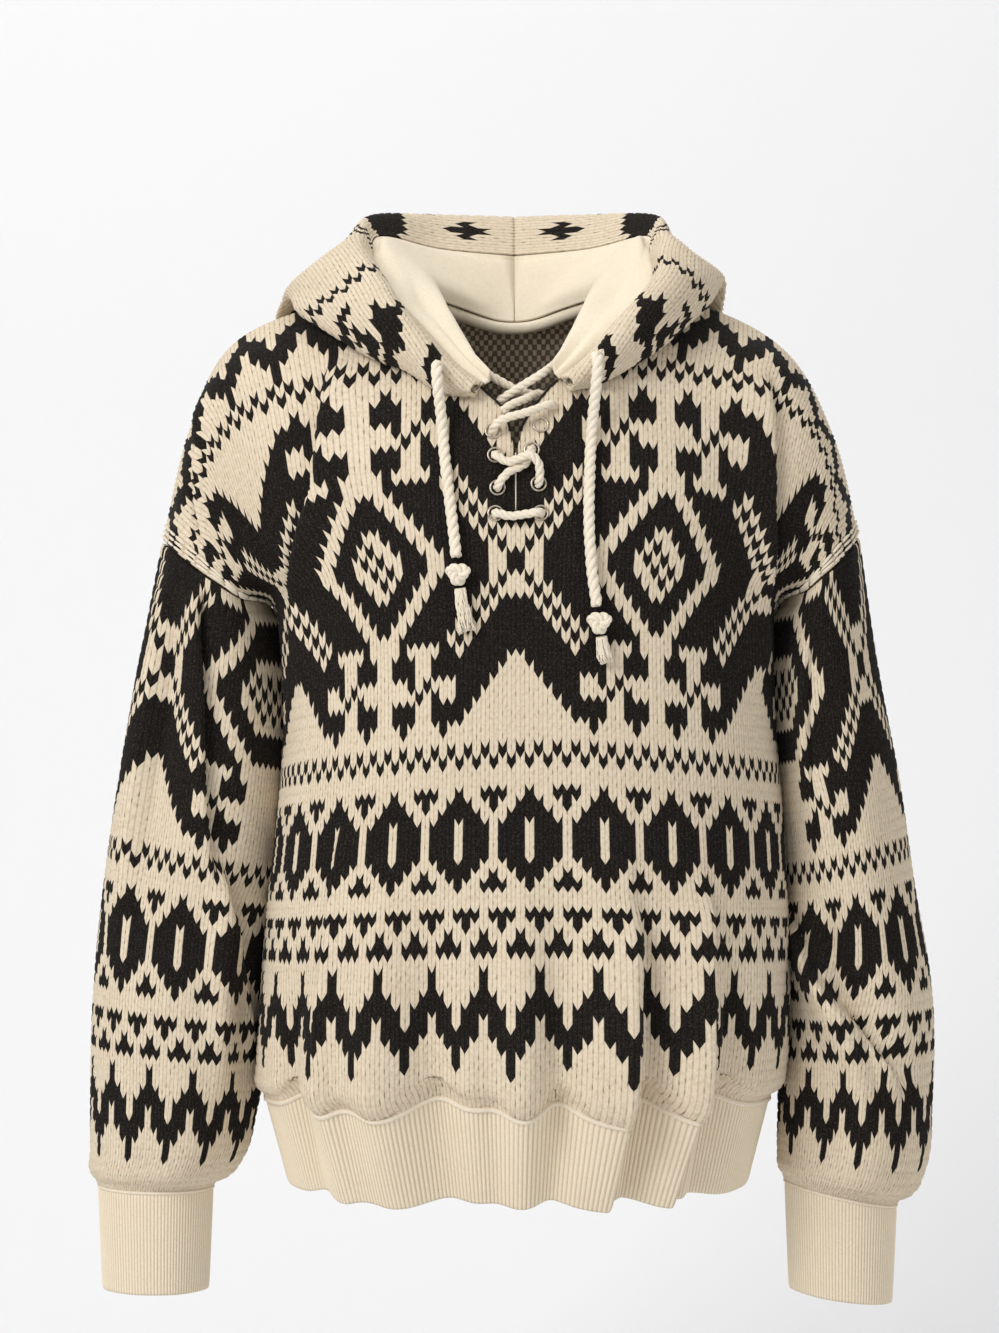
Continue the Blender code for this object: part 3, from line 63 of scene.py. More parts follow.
WORDS = {-1: "right", 1: "left"}  # the wearer's, by the sign of x

# Columns of every body row, as shares of a half panel's width from the centre line.
ACROSS = (0.0, 0.2, 0.4, 0.6, 0.8, 1.0)

# Rows below the underarm: knit row, height at the centre, height at the sides, half width at
# the wearer's right, half width at the left, depth of the front, depth of the back.
TORSO_ROWS = (
    (0.0, -0.5460, -0.5470, 0.171, 0.174, 0.1135, 0.103),
    (0.6, -0.5425, -0.5435, 0.172, 0.175, 0.1140, 0.104),
    (1.6, -0.5375, -0.5395, 0.177, 0.182, 0.1210, 0.110),
    (4.0, -0.520, -0.524, 0.177, 0.186, 0.125, 0.114),
    (9.0, -0.483, -0.490, 0.175, 0.188, 0.125, 0.113),
    (18.0, -0.414, -0.422, 0.170, 0.187, 0.124, 0.111),
    (28.0, -0.343, -0.351, 0.162, 0.183, 0.123, 0.110),
    (37.0, -0.278, -0.287, 0.158, 0.178, 0.123, 0.110),
    (44.5, -0.224, -0.232, 0.161, 0.177, 0.122, 0.108),
    (46.0, -0.213, -0.221, 0.162, 0.177, 0.122, 0.108),
)
TORSO_SQUARENESS = 2.5
CENTRE_GAUGE = 0.2  # how much wider the stitches lie at the centre than evenly spaced ones

# Rows above it, at the ACROSS columns: from the centre line over the shoulder to the armhole.
SHOULDER_ROWS_RIGHT = (
    (56.0, (0.000, -0.115, -0.137), (-0.060, -0.113, -0.138), (-0.118, -0.100, -0.146),
     (-0.160, -0.074, -0.166), (-0.177, -0.062, -0.186), (-0.189, -0.055, -0.204)),
    (66.5, (0.000, -0.086, -0.056), (-0.060, -0.084, -0.058), (-0.124, -0.071, -0.066),
     (-0.180, -0.056, -0.084), (-0.209, -0.050, -0.120), (-0.217, -0.053, -0.185)),
    (72.0, (0.000, -0.047, -0.018), (-0.061, -0.046, -0.022), (-0.129, -0.041, -0.028),
     (-0.190, -0.036, -0.050), (-0.219, -0.034, -0.099), (-0.233, -0.036, -0.173)),
    (77.0, (0.000, 0.000, 0.007), (-0.062, 0.000, 0.001), (-0.132, 0.000, -0.004),
     (-0.195, 0.000, -0.032), (-0.224, 0.000, -0.091), (-0.242, 0.000, -0.166)),
)
SHOULDER_ROWS_LEFT = (
    (56.0, (0.000, -0.115, -0.137), (0.060, -0.113, -0.137), (0.118, -0.100, -0.143),
     (0.164, -0.074, -0.162), (0.184, -0.062, -0.180), (0.200, -0.054, -0.198)),
    (66.5, (0.000, -0.086, -0.056), (0.060, -0.084, -0.056), (0.120, -0.071, -0.060),
     (0.176, -0.056, -0.074), (0.208, -0.050, -0.110), (0.219, -0.053, -0.181)),
    (72.0, (0.000, -0.047, -0.018), (0.061, -0.046, -0.020), (0.126, -0.041, -0.028),
     (0.184, -0.036, -0.050), (0.213, -0.034, -0.102), (0.229, -0.036, -0.171)),
    (77.0, (0.000, 0.000, 0.007), (0.062, 0.000, 0.001), (0.129, 0.000, -0.005),
     (0.187, 0.000, -0.037), (0.219, 0.000, -0.095), (0.236, 0.000, -0.162)),
)
BACK_SHARE = 0.90  # how far the back stands from the shoulder seam, against the front
BACK_LIFT = 0.010  # how much higher the back hangs between the shoulders

# The front's edge beside the laced opening and the neck: knit row, place across.
FRONT_EDGE_RIGHT = (
    (54.2, 0.0), (54.8, 0.0012), (59.4, 0.003), (61.5, 0.0145), (63.0, 0.028), (63.9, 0.050),
    (64.6, 0.070), (65.0, 0.081), (66.5, 0.115), (69.3, 0.148), (72.0, 0.175), (75.0, 0.192),
    (77.0, 0.200),
)
FRONT_EDGE_LEFT = (
    (54.2, 0.0), (54.8, 0.0012), (59.4, 0.003), (61.5, 0.0145), (63.0, 0.038), (64.2, 0.063),
    (65.2, 0.085), (65.8, 0.107), (66.9, 0.125), (69.3, 0.152), (72.0, 0.176), (75.0, 0.192),
    (77.0, 0.200),
)
NECK_HALF_SPAN = 0.2  # of a half panel's width, at the shoulder seam
BACK_NECK_ROW = 70.8  # the back neckline at the centre
BACK_NECK_POWER = 2.2

# Folds of the body: knit row where each is deepest, row where it ends, its place across there
# and where it ends (-1 is the wearer's right side seam, 1 the left), its reach to each side,
# and its height, which is negative for a trough.
FRONT_FOLDS = (
    (0, 20, -0.62, -0.58, 0.050, 0.060, -0.010),
    (0, 26, -0.50, -0.47, 0.060, 0.035, 0.007),
    (0, 30, -0.34, -0.36, 0.060, 0.080, 0.009),
    (0, 24, -0.19, -0.20, 0.075, 0.060, -0.012),
    (0, 18, -0.05, -0.07, 0.040, 0.040, -0.004),
    (0, 28, 0.02, 0.01, 0.060, 0.045, 0.008),
    (0, 22, 0.10, 0.09, 0.040, 0.050, -0.010),
    (0, 34, 0.24, 0.25, 0.110, 0.020, 0.010),
    (0, 26, 0.31, 0.30, 0.025, 0.070, -0.009),
    (0, 30, 0.43, 0.44, 0.070, 0.022, 0.008),
    (0, 24, 0.53, 0.52, 0.025, 0.080, -0.011),
)
BACK_FOLDS = (
    (0, 26, -0.55, -0.50, 0.070, 0.050, -0.010),
    (0, 32, -0.36, -0.33, 0.090, 0.060, 0.009),
    (0, 24, -0.16, -0.18, 0.060, 0.080, -0.011),
    (0, 30, 0.04, 0.02, 0.080, 0.060, 0.009),
    (0, 22, 0.22, 0.24, 0.070, 0.050, -0.010),
    (0, 30, 0.41, 0.38, 0.060, 0.080, 0.010),
    (0, 24, 0.60, 0.55, 0.050, 0.070, -0.009),
)
# Sharp overlapping creases: points (row, place) along each, its near and far reach, and its
# height, which is negative where the side of the lesser place lies on top.
FRONT_CREASES = (
    (((38, -0.66), (44, -0.65), (50, -0.60), (58, -0.44), (66, -0.40), (70, -0.40)), 0.011, 0.075, 0.0065),
    (((38, 0.70), (44, 0.72), (50, 0.70), (58, 0.61), (66, 0.57), (70, 0.56)), 0.011, 0.075, -0.0060),
    (((62, -0.97), (65, -0.92), (67, -0.87), (70, -0.78), (74, -0.745), (77, -0.72)), 0.012, 0.07, 0.0050),
    (((-6, 0.255), (8, 0.265), (20, 0.275)), 0.007, 0.055, -0.0040),
    (((-6, 0.445), (8, 0.45), (22, 0.46)), 0.007, 0.055, -0.0040),
    (((4, -0.50), (12, -0.49), (28, -0.46)), 0.010, 0.05, 0.0022),
)
BACK_CREASES = (
    (((36, -0.68), (48, -0.62), (60, -0.46), (68, -0.42)), 0.012, 0.08, 0.0055),
    (((36, 0.66), (48, 0.62), (58, 0.50), (68, 0.46)), 0.012, 0.08, -0.0055),
    (((-6, 0.30), (8, 0.31), (22, 0.33)), 0.008, 0.055, -0.0036),
    (((-6, -0.33), (8, -0.32), (24, -0.30)), 0.008, 0.055, 0.0036),
)
SLEEVE_CREASES_RIGHT = (
    (((31, 66), (38, 77), (42, 82), (46, 86), (50, 90), (54, 96), (60, 102)), 2.6, 24.0, -0.0070),
    (((13, 15), (18, 23), (22, 31), (26, 42), (30, 55), (35, 62)), 2.6, 22.0, -0.0065),
    (((24, 232), (34, 226), (48, 236)), 3.5, 22.0, 0.0050),
)
SLEEVE_CREASES_LEFT = (
    (((9, 124), (12.5, 114), (16, 92), (20, 70), (26, 41), (30, 18)), 3.0, 26.0, 0.0075),
    (((38, 60), (46, 66), (56, 72)), 3.5, 20.0, 0.0040),
    (((24, 226), (34, 234), (46, 224)), 3.5, 22.0, -0.0050),
)
OVERLAP = 1.3  # how far a crease's upper side slides over, against its height
CREASE_FADE = 5.0  # rows over which a crease dies out at each end
HEM_SAG = 0.55  # how far a fold's rim hangs lower at the rib seam, against its height

# Sleeve sections: knit row, height, rise outwards, inner x, outer x, front y, back y.
SLEEVE_ROWS_RIGHT = (
    (0.0, -0.6100, 0.02, -0.2090, -0.2860, -0.0410, 0.0350),
    (0.6, -0.6065, 0.02, -0.2085, -0.2865, -0.0415, 0.0355),
    (1.6, -0.6020, 0.03, -0.1990, -0.2910, -0.0490, 0.0430),
    (4.0, -0.5880, 0.05, -0.189, -0.291, -0.055, 0.049),
    (9.0, -0.5520, 0.08, -0.184, -0.291, -0.057, 0.051),
    (19.0, -0.4830, 0.12, -0.179, -0.289, -0.058, 0.052),
    (29.0, -0.4140, 0.18, -0.174, -0.282, -0.058, 0.052),
    (39.0, -0.3430, 0.28, -0.166, -0.271, -0.058, 0.052),
    (48.5, -0.2730, 0.42, -0.162, -0.258, -0.059, 0.054),
)
SLEEVE_ROWS_LEFT = (
    (0.0, -0.6150, -0.22, 0.1870, 0.2620, -0.0400, 0.0380),
    (0.6, -0.6115, -0.22, 0.1865, 0.2625, -0.0405, 0.0385),
    (1.6, -0.6070, -0.20, 0.1830, 0.2720, -0.0490, 0.0460),
    (4.0, -0.5910, -0.12, 0.183, 0.282, -0.055, 0.053),
    (9.0, -0.5530, 0.00, 0.188, 0.286, -0.058, 0.056),
    (19.0, -0.4830, 0.10, 0.191, 0.286, -0.060, 0.058),
    (29.0, -0.4130, 0.22, 0.191, 0.274, -0.061, 0.059),
    (39.0, -0.3420, 0.34, 0.187, 0.263, -0.061, 0.059),
    (48.5, -0.2720, 0.50, 0.182, 0.249, -0.060, 0.057),
)
# Angles round a sleeve of the armhole's eight points, from the underarm by the front.
ROUND_SLEEVE = (0, 67, 107, 140, 180, 220, 253, 293)
ARMHOLE_ROWS = (46.0, 56.0, 66.5, 72.0, 77.0)

# Folds of the sleeves: row where each is deepest, rows it reaches down and up, its angle at the
# foot and at the top, its reach back and on round the sleeve, and its height.
SLEEVE_FOLDS_RIGHT = (
    (44, 26, 16, 118, 124, 22, 7, 0.0070),
    (44, 26, 16, 134, 138, 7, 20, -0.0080),
    (22, 16, 14, 48, 62, 14, 10, -0.0080),
    (20, 14, 16, 30, 44, 12, 16, 0.0060),
    (6, 8, 14, 100, 104, 20, 20, 0.0040),
    (30, 14, 18, 225, 236, 16, 14, -0.0070),
    (20, 14, 20, 300, 290, 18, 14, -0.0050),
)
SLEEVE_FOLDS_LEFT = (
    (20, 14, 12, 112, 52, 8, 24, 0.0080),
    (20, 14, 12, 96, 38, 16, 8, -0.0080),
    (44, 16, 12, 60, 72, 14, 14, -0.0050),
    (8, 8, 12, 60, 70, 16, 18, 0.0040),
    (32, 16, 16, 232, 222, 14, 16, -0.0070),
    (18, 12, 20, 296, 304, 18, 14, -0.0050),
)

# Hood, lying down: the way round the neck (0 at the front end, 1 at the centre back), then the
# underside, the lower fold, the face, the crest and the mouth edge.
HOOD_ROWS_RIGHT = (
    (0.00, (-0.026, -0.1010, -0.0720), (-0.0285, -0.1045, -0.0730), (-0.030, -0.1100, -0.0710),
     (-0.026, -0.1090, -0.0660), (-0.0215, -0.1045, -0.0660)),
    (0.15, (-0.043, -0.0980, -0.0680), (-0.050, -0.1010, -0.0700), (-0.050, -0.1085, -0.0600),
     (-0.044, -0.1055, -0.0525), (-0.039, -0.0970, -0.0535)),
    (0.30, (-0.060, -0.0870, -0.0520), (-0.073, -0.0880, -0.0550), (-0.073, -0.1020, -0.0420),
     (-0.064, -0.0990, -0.0300), (-0.057, -0.0860, -0.0330)),
    (0.45, (-0.075, -0.0690, -0.0330), (-0.099, -0.0730, -0.0440), (-0.095, -0.0920, -0.0250),
     (-0.082, -0.0860, -0.0080), (-0.074, -0.0720, -0.0140)),
    (0.60, (-0.094, -0.0340, -0.0090), (-0.136, -0.0440, -0.0200), (-0.124, -0.0640, 0.0000),
     (-0.102, -0.0590, 0.0150), (-0.091, -0.0470, 0.0050)),
    (0.75, (-0.114, 0.0150, 0.0065), (-0.166, 0.0120, -0.0050), (-0.150, -0.0080, 0.0170),
     (-0.116, -0.0080, 0.0430), (-0.106, -0.0060, 0.0310)),
    (0.88, (-0.088, 0.0780, 0.0020), (-0.124, 0.1300, -0.1080), (-0.124, 0.1550, -0.0430),
     (-0.100, 0.0600, 0.0650), (-0.092, 0.0370, 0.0480)),
    (0.94, (-0.046, 0.0900, -0.0080), (-0.076, 0.1380, -0.1620), (-0.074, 0.1620, -0.0800),
     (-0.056, 0.0980, 0.0690), (-0.052, 0.0680, 0.0430)),
    (1.00, (0.000, 0.0960, -0.0120), (0.000, 0.1400, -0.1850), (0.000, 0.1680, -0.0950),
     (0.000, 0.1120, 0.0690), (0.000, 0.0810, 0.0400)),
)
HOOD_ROWS_LEFT = (
    (0.00, (0.034, -0.1000, -0.0680), (0.0365, -0.1035, -0.0690), (0.038, -0.1090, -0.0660),
     (0.034, -0.1070, -0.0615), (0.030, -0.1010, -0.0620)),
    (0.15, (0.048, -0.0960, -0.0620), (0.0565, -0.0990, -0.0640), (0.057, -0.1075, -0.0540),
     (0.051, -0.1040, -0.0470), (0.046, -0.0930, -0.0490)),
    (0.30, (0.064, -0.0840, -0.0450), (0.079, -0.0860, -0.0510), (0.078, -0.1020, -0.0360),
     (0.069, -0.0990, -0.0240), (0.063, -0.0860, -0.0280)),
    (0.45, (0.079, -0.0660, -0.0280), (0.099, -0.0710, -0.0370), (0.097, -0.0930, -0.0190),
     (0.087, -0.0860, -0.0030), (0.080, -0.0720, -0.0100)),
    (0.60, (0.095, -0.0330, -0.0060), (0.127, -0.0410, -0.0110), (0.120, -0.0640, 0.0060),
     (0.103, -0.0590, 0.0200), (0.094, -0.0470, 0.0110)),
    (0.75, (0.108, 0.0150, 0.0065), (0.144, 0.0120, 0.0060), (0.133, -0.0080, 0.0250),
     (0.111, -0.0080, 0.0450), (0.101, -0.0060, 0.0340)),
    (0.88, (0.086, 0.0780, 0.0020), (0.118, 0.1300, -0.1020), (0.118, 0.1550, -0.0430),
     (0.099, 0.0600, 0.0650), (0.091, 0.0370, 0.0480)),
    (0.94, (0.045, 0.0900, -0.0080), (0.073, 0.1380, -0.1600), (0.071, 0.1620, -0.0800),
     (0.055, 0.0980, 0.0690), (0.051, 0.0680, 0.0430)),
    (1.00, (0.000, 0.0960, -0.0120), (0.000, 0.1400, -0.1850), (0.000, 0.1680, -0.0950),
     (0.000, 0.1120, 0.0690), (0.000, 0.0810, 0.0400)),
)
# Places of a hood section's points along it: the seam, the rise from it, and those above.
HOOD_PROFILE = (0.0, 0.08, 0.25, 0.45, 0.66, 0.88, 1.0)
HOOD_RISE = 0.0038  # how far the hood stands up at the neck seam before it turns over
# Where the hood's seam runs: the way round the neck, front row; then the share of the back.
HOOD_SEAM_RIGHT = ((0.0, 65.0), (0.15, 66.5), (0.30, 69.3), (0.45, 72.0), (0.60, 75.2), (0.66, 77.0))
HOOD_SEAM_LEFT = ((0.0, 65.8), (0.15, 67.2), (0.30, 69.5), (0.45, 72.0), (0.60, 75.2), (0.66, 77.0))
HOOD_SHOULDER = 0.66  # where it crosses the shoulder seam
# Lining: the way round the neck, then the lobe and the valley under the mouth edge.
LINING_ROWS_RIGHT = (
    (0.00, (-0.0178, -0.0995, -0.0645), (-0.0178, -0.1025, -0.0642)),
    (0.15, (-0.0325, -0.0928, -0.0490), (-0.0345, -0.0955, -0.0490)),
    (0.30, (-0.0510, -0.0755, -0.0255), (-0.0540, -0.0805, -0.0275)),
    (0.45, (-0.0640, -0.0490, -0.0080), (-0.0700, -0.0610, -0.0100)),
    (0.60, (-0.0780, -0.0230, 0.0170), (-0.0860, -0.0380, 0.0080)),
    (0.75, (-0.0930, 0.0080, 0.0410), (-0.1010, 0.0000, 0.0340)),
    (0.88, (-0.0780, 0.0360, 0.0420), (-0.0860, 0.0350, 0.0440)),
    (0.94, (-0.0430, 0.0570, 0.0370), (-0.0470, 0.0640, 0.0390)),
    (1.00, (0.0000, 0.0700, 0.0330), (0.0000, 0.0780, 0.0330)),
)
LINING_ROWS_LEFT = (
    (0.00, (0.0260, -0.0975, -0.0590), (0.0265, -0.1000, -0.0595)),
    (0.15, (0.0390, -0.0890, -0.0440), (0.0425, -0.0920, -0.0450)),
    (0.30, (0.0560, -0.0755, -0.0215), (0.0600, -0.0805, -0.0235)),
    (0.45, (0.0690, -0.0490, -0.0050), (0.0760, -0.0610, -0.0060)),
    (0.60, (0.0800, -0.0230, 0.0200), (0.0890, -0.0380, 0.0140)),
    (0.75, (0.0890, 0.0080, 0.0430), (0.0960, 0.0000, 0.0370)),
    (0.88, (0.0770, 0.0360, 0.0420), (0.0850, 0.0350, 0.0440)),
    (0.94, (0.0430, 0.0570, 0.0370), (0.0470, 0.0640, 0.0390)),
    (1.00, (0.0000, 0.0700, 0.0330), (0.0000, 0.0780, 0.0330)),
)
LINING_PROFILE = (0.0, 0.12, 0.55, 0.82, 1.0)
LINING_RISE = 0.0082  # how far the lining stands up over the hood's rise

# Eyelets: place across the front, knit row.
EYELETS = {
    "eyelet_right_1": (-0.050, 61.0),
    "eyelet_right_2": (-0.045, 59.0),
    "eyelet_right_3": (-0.040, 56.2),
    "eyelet_right_4": (-0.045, 54.0),
    "eyelet_left_1": (0.055, 61.5),
    "eyelet_left_2": (0.035, 59.4),
    "eyelet_left_3": (0.050, 56.5),
    "eyelet_left_4": (0.055, 54.0),
}
# The lace's way: place across, knit row, distance out from the panel's middle surface.
LACE_WAY = (
    (-0.030, 62.50, 0.0054), (-0.010, 63.05, 0.0052), (0.020, 63.70, 0.0020), (0.048, 64.60, -0.0040),
    (0.066, 64.60, -0.0066), (0.082, 63.60, -0.0064), (0.082, 63.10, -0.0020), (0.082, 63.10, 0.0026),
    (0.076, 62.95, 0.0066), (0.050, 62.50, 0.0092), (0.020, 62.05, 0.0112), (-0.012, 61.75, 0.0116),
    (-0.036, 61.45, 0.0102), (-0.0475, 61.15, 0.0068), (-0.050, 61.0, 0.0024), (-0.050, 61.0, -0.0028),
    (-0.049, 60.5, -0.0066), (-0.047, 59.5, -0.0066), (-0.045, 59.0, -0.0028), (-0.045, 59.0, 0.0026),
    (-0.041, 58.75, 0.0064), (-0.018, 58.25, 0.0070), (0.010, 58.45, 0.0104), (0.030, 58.60, 0.0134),
    (0.048, 58.05, 0.0116), (0.0525, 57.05, 0.0072), (0.050, 56.5, 0.0028), (0.050, 56.5, -0.0028),
    (0.051, 56.0, -0.0066), (0.054, 54.6, -0.0066), (0.055, 54.0, -0.0028), (0.055, 54.0, 0.0026),
    (0.049, 53.95, 0.0065), (0.020, 53.80, 0.0060), (-0.015, 53.65, 0.0060), (-0.039, 53.90, 0.0065),
    (-0.045, 54.0, 0.0026), (-0.045, 54.0, -0.0028), (-0.044, 54.6, -0.0066), (-0.041, 55.6, -0.0066),
    (-0.040, 56.2, -0.0028), (-0.040, 56.2, 0.0026), (-0.036, 56.45, 0.0065), (-0.014, 57.45, 0.0054),
    (0.010, 57.90, 0.0050), (0.024, 58.25, 0.0052), (0.0325, 58.95, 0.0064), (0.035, 59.4, 0.0028),
    (0.035, 59.4, -0.0026), (0.036, 59.9, -0.0064), (0.040, 60.8, -0.0070),
)

# Drawstrings: place across, knit row, distance out from the middle surface of the front; the
# first is at the hole in the hood's casing. Then the knot and the frayed end's foot.
DRAWSTRING_WAY_RIGHT = (
    (-0.165, 65.2, 0.0234), (-0.165, 64.7, 0.0278), (-0.164, 63.6, 0.0246), (-0.161, 62.2, 0.0125),
    (-0.158, 60.5, 0.0060), (-0.150, 57.5, 0.0060), (-0.140, 53.2, 0.0060), (-0.135, 50.3, 0.0080),
)
DRAWSTRING_WAY_LEFT = (
    (0.170, 65.6, 0.0260), (0.171, 65.1, 0.0300), (0.170, 64.0, 0.0262), (0.167, 62.2, 0.0125),
    (0.164, 60.5, 0.0060), (0.160, 57.5, 0.0060), (0.160, 53.2, 0.0060), (0.170, 49.2, 0.0060),
    (0.182, 46.1, 0.0080),
)
KNOT_RIGHT = (-0.133, 48.8, 0.0094)
KNOT_LEFT = (0.187, 44.6, 0.0094)
KNOT_RADII = (0.0088, 0.0078, 0.0082)
KNOT_ROPE = 0.0064  # the rope's diameter where the knot squeezes it
TASSEL_WAY_RIGHT = ((-0.130, 47.55, 0.0084), (-0.124, 45.6, 0.0066), (-0.114, 43.4, 0.0062))
TASSEL_WAY_LEFT = ((0.192, 43.30, 0.0084), (0.198, 42.0, 0.0066), (0.206, 40.6, 0.0062))
TASSEL_RADII = (0.0036, 0.0046, 0.0056)

# Cords across the neck: from inside the hood's edge to behind the front's neck edge.
NECK_CORD_RIGHT = (
    (-0.0292, -0.0768, -0.0503), (-0.0210, -0.0810, -0.0560),
    (-0.0150, -0.0850, -0.0600), (0.0000, -0.0850, -0.0680), (0.0120, -0.0840, -0.0720),
    (0.0210, -0.0820, -0.0760),
)
NECK_CORD_LEFT = (
    (0.0295, -0.0780, -0.0480), (0.0240, -0.0850, -0.0530),
    (0.0180, -0.0930, -0.0580), (0.0020, -0.0940, -0.0680), (-0.0100, -0.0930, -0.0760),
    (-0.0180, -0.0910, -0.0830),
)

# Rib bands: the height of each and how far its foot pulls in.
HEM_BAND_HEIGHT = 0.066
HEM_BAND_PULL = 0.016
HEM_CALM = 6  # the foot keeps half of the seam's folds and follows every sixth point for the rest
HEM_SIDE_LIFT = 0.008  # the foot's rise at the sides
CUFF_HEIGHT = 0.070
CUFF_PULL = 0.003
CUFF_FOOT_SLANT = 0.55  # the foot's slant against the top's


# ---------------------------------------------------------------- curves and nets
def unit(vectors):
    """The vectors at unit length, along the last axis."""
    return vectors / np.maximum(np.linalg.norm(vectors, axis=-1, keepdims=True), 1e-12)


def spread(knots, places, loop=None):
    """For each place, the share that each knot's value has there on a smooth curve."""
    knots = np.asarray(knots, float)
    places = np.asarray(places, float).ravel()
    count = len(knots)
    if loop is not None:
        places = np.mod(places - knots[0], loop) + knots[0]
        order = np.r_[count - 1, np.arange(count), 0, 1]
        long_knots = np.r_[knots[-1] - loop, knots, knots[0] + loop, knots[1] + loop]
    else:
        places = np.clip(places, knots[0], knots[-1])
        order = np.arange(count)
        long_knots = knots
    values = np.eye(count)[order]
    gap = np.diff(long_knots)
    slope = np.diff(values, axis=0) / gap[:, None]
    tangent = np.empty_like(values)
    tangent[0] = slope[0]
    tangent[-1] = slope[-1]
    before = gap[:-1, None]
    after = gap[1:, None]
    tangent[1:-1] = (slope[:-1] * after + slope[1:] * before) / (before + after)
    left = np.clip(np.searchsorted(long_knots, places, side="right") - 1, 0, len(gap) - 1)
    width = gap[left]
    t = ((places - long_knots[left]) / width)[:, None]
    width = width[:, None]
    return (
        (2 * t**3 - 3 * t**2 + 1) * values[left]
        + (t**3 - 2 * t**2 + t) * width * tangent[left]
        + (3 * t**2 - 2 * t**3) * values[left + 1]
        + (t**3 - t**2) * width * tangent[left + 1]
    )


def lengths(points):
    """Length along a line of points up to each."""
    return np.r_[0, np.cumsum(np.linalg.norm(np.diff(points, axis=0), axis=1))]


def on_net(by_row, by_column, net):
    """Points of a net from the shares of its rows and columns."""
    rows = (by_row @ net.reshape(len(net), -1)).reshape(-1, net.shape[1], 3)
    return np.einsum("qj,qjk->qk", by_column, rows)


def outwards(normal, points):
    """A tube's normals turned outwards, and whether they had to be. Each row of points is a ring."""
    centre = points.mean(axis=1, keepdims=True)
    flip = float(np.mean(np.sum(normal * (points - centre), axis=-1))) < 0
    return (-normal if flip else normal), flip


def ramp(value, low, high):
    """0 at low, 1 at high, smooth between."""
    t = np.clip((value - low) / (high - low), 0.0, 1.0)
    return t * t * (3 - 2 * t)


def quarter_section(half_width, depth, height, side_height):
    """Six points by length along a rounded quarter, from the centre line to the side."""
    turn = np.linspace(0, math.pi / 2, 181)
    x = half_width * np.sin(turn) ** (2 / TORSO_SQUARENESS)
    y = depth * np.cos(turn) ** (2 / TORSO_SQUARENESS)
    length = np.r_[0, np.cumsum(np.hypot(np.diff(x), np.diff(y)))]
    share = length / length[-1]
    across = np.array(ACROSS)
    wanted = across * (1 + CENTRE_GAUGE * (1 - across))
    x = np.interp(wanted, share, x)
    y = np.interp(wanted, share, y)
    z = height + (side_height - height) * (x / half_width) ** 2
    return np.stack([x, y, z], axis=1)


def half_net(shoulder_rows, width_column, depth_column, side):
    """Rows of one half of a panel, from the centre line out. side is -1 or 1."""
    rows = []
    for row in TORSO_ROWS:
        points = quarter_section(row[width_column], row[depth_column], row[1], row[2])
        front = -1.0 if depth_column == 5 else 1.0
        rows.append(points * (side, front, 1.0))
    for row in shoulder_rows:
        points = np.array(row[1:], float)
        if depth_column == 6:
            inward = 1 - np.array(ACROSS)[:, None] ** 2
            points[:, 1] *= -BACK_SHARE
            points[:, 2:] += BACK_LIFT * inward * (np.abs(points[:, 1:2]) > 0)
        rows.append(points)
    return np.array(rows)


def whole_net(depth_column):
    """A panel's net, from the wearer's right side to the left."""
    right = half_net(SHOULDER_ROWS_RIGHT, 3, depth_column, -1.0)
    left = half_net(SHOULDER_ROWS_LEFT, 4, depth_column, 1.0)
    return np.concatenate([right[:, :0:-1], left], axis=1)


BODY_ACROSS = [-a for a in ACROSS[:0:-1]] + list(ACROSS)
BODY_ROWS = [row[0] for row in TORSO_ROWS] + [row[0] for row in SHOULDER_ROWS_RIGHT]
FRONT_NET = whole_net(5)
BACK_NET = whole_net(6)


def body_smooth(across, row, back):
    """Points of a body panel before its folds."""
    net = BACK_NET if back else FRONT_NET
    by_row = spread(BODY_ROWS, row)
    by_column = spread(BODY_ACROSS, across)
    return on_net(by_row, by_column, net)


def normals(surface, across, row, width, height):
    """Unit normals of a surface, by small steps along its two ways."""
    along = surface(across + width * STEP, row) - surface(across - width * STEP, row)
    up = surface(across, row + height * STEP) - surface(across, row - height * STEP)
    return unit(np.cross(along, up))


def tangents(surface, across, row, width):
    """Unit vectors along a surface, the way its place across grows."""
    return unit(surface(across + width * STEP, row) - surface(across - width * STEP, row))


def creases(table, place, row, loop=None):
    """Height of a table's sharp creases, and how far the cloth on top slides over them."""
    height = np.zeros_like(place)
    slide = np.zeros_like(place)
    for points, near, far, rise in table:
        rows = [p[0] for p in points]
        offset = place - np.interp(row, rows, [p[1] for p in points])
        if loop:
            offset = np.mod(offset + loop / 2, loop) - loop / 2
        fade = ramp(row, rows[0], rows[0] + CREASE_FADE) * (1 - ramp(row, rows[-1] - CREASE_FADE, rows[-1]))
        fade *= np.exp(-((offset / far) ** 2))
        step = np.tanh(offset / near)
        height += rise * fade * step
        slide -= OVERLAP * rise * fade * (1 + math.copysign(1.0, rise) * step) / 2
    return height, slide


def body_folds(across, row, back):
    """Height of the body's folds."""
    height = np.zeros_like(across)
    for deepest, end, foot, head, reach_down, reach_up, rise in BACK_FOLDS if back else FRONT_FOLDS:
        share = (row - deepest) / (end - deepest)
        offset = across - (foot + (head - foot) * np.clip(share, 0, 1))
        reach = np.where(offset < 0, reach_down, reach_up)
        height += rise * np.exp(-((offset / reach) ** 2)) * (1 - ramp(share, 0.1, 1.0))
    side = 1 - ramp(np.abs(across), 0.8, 0.97)
    return height * side


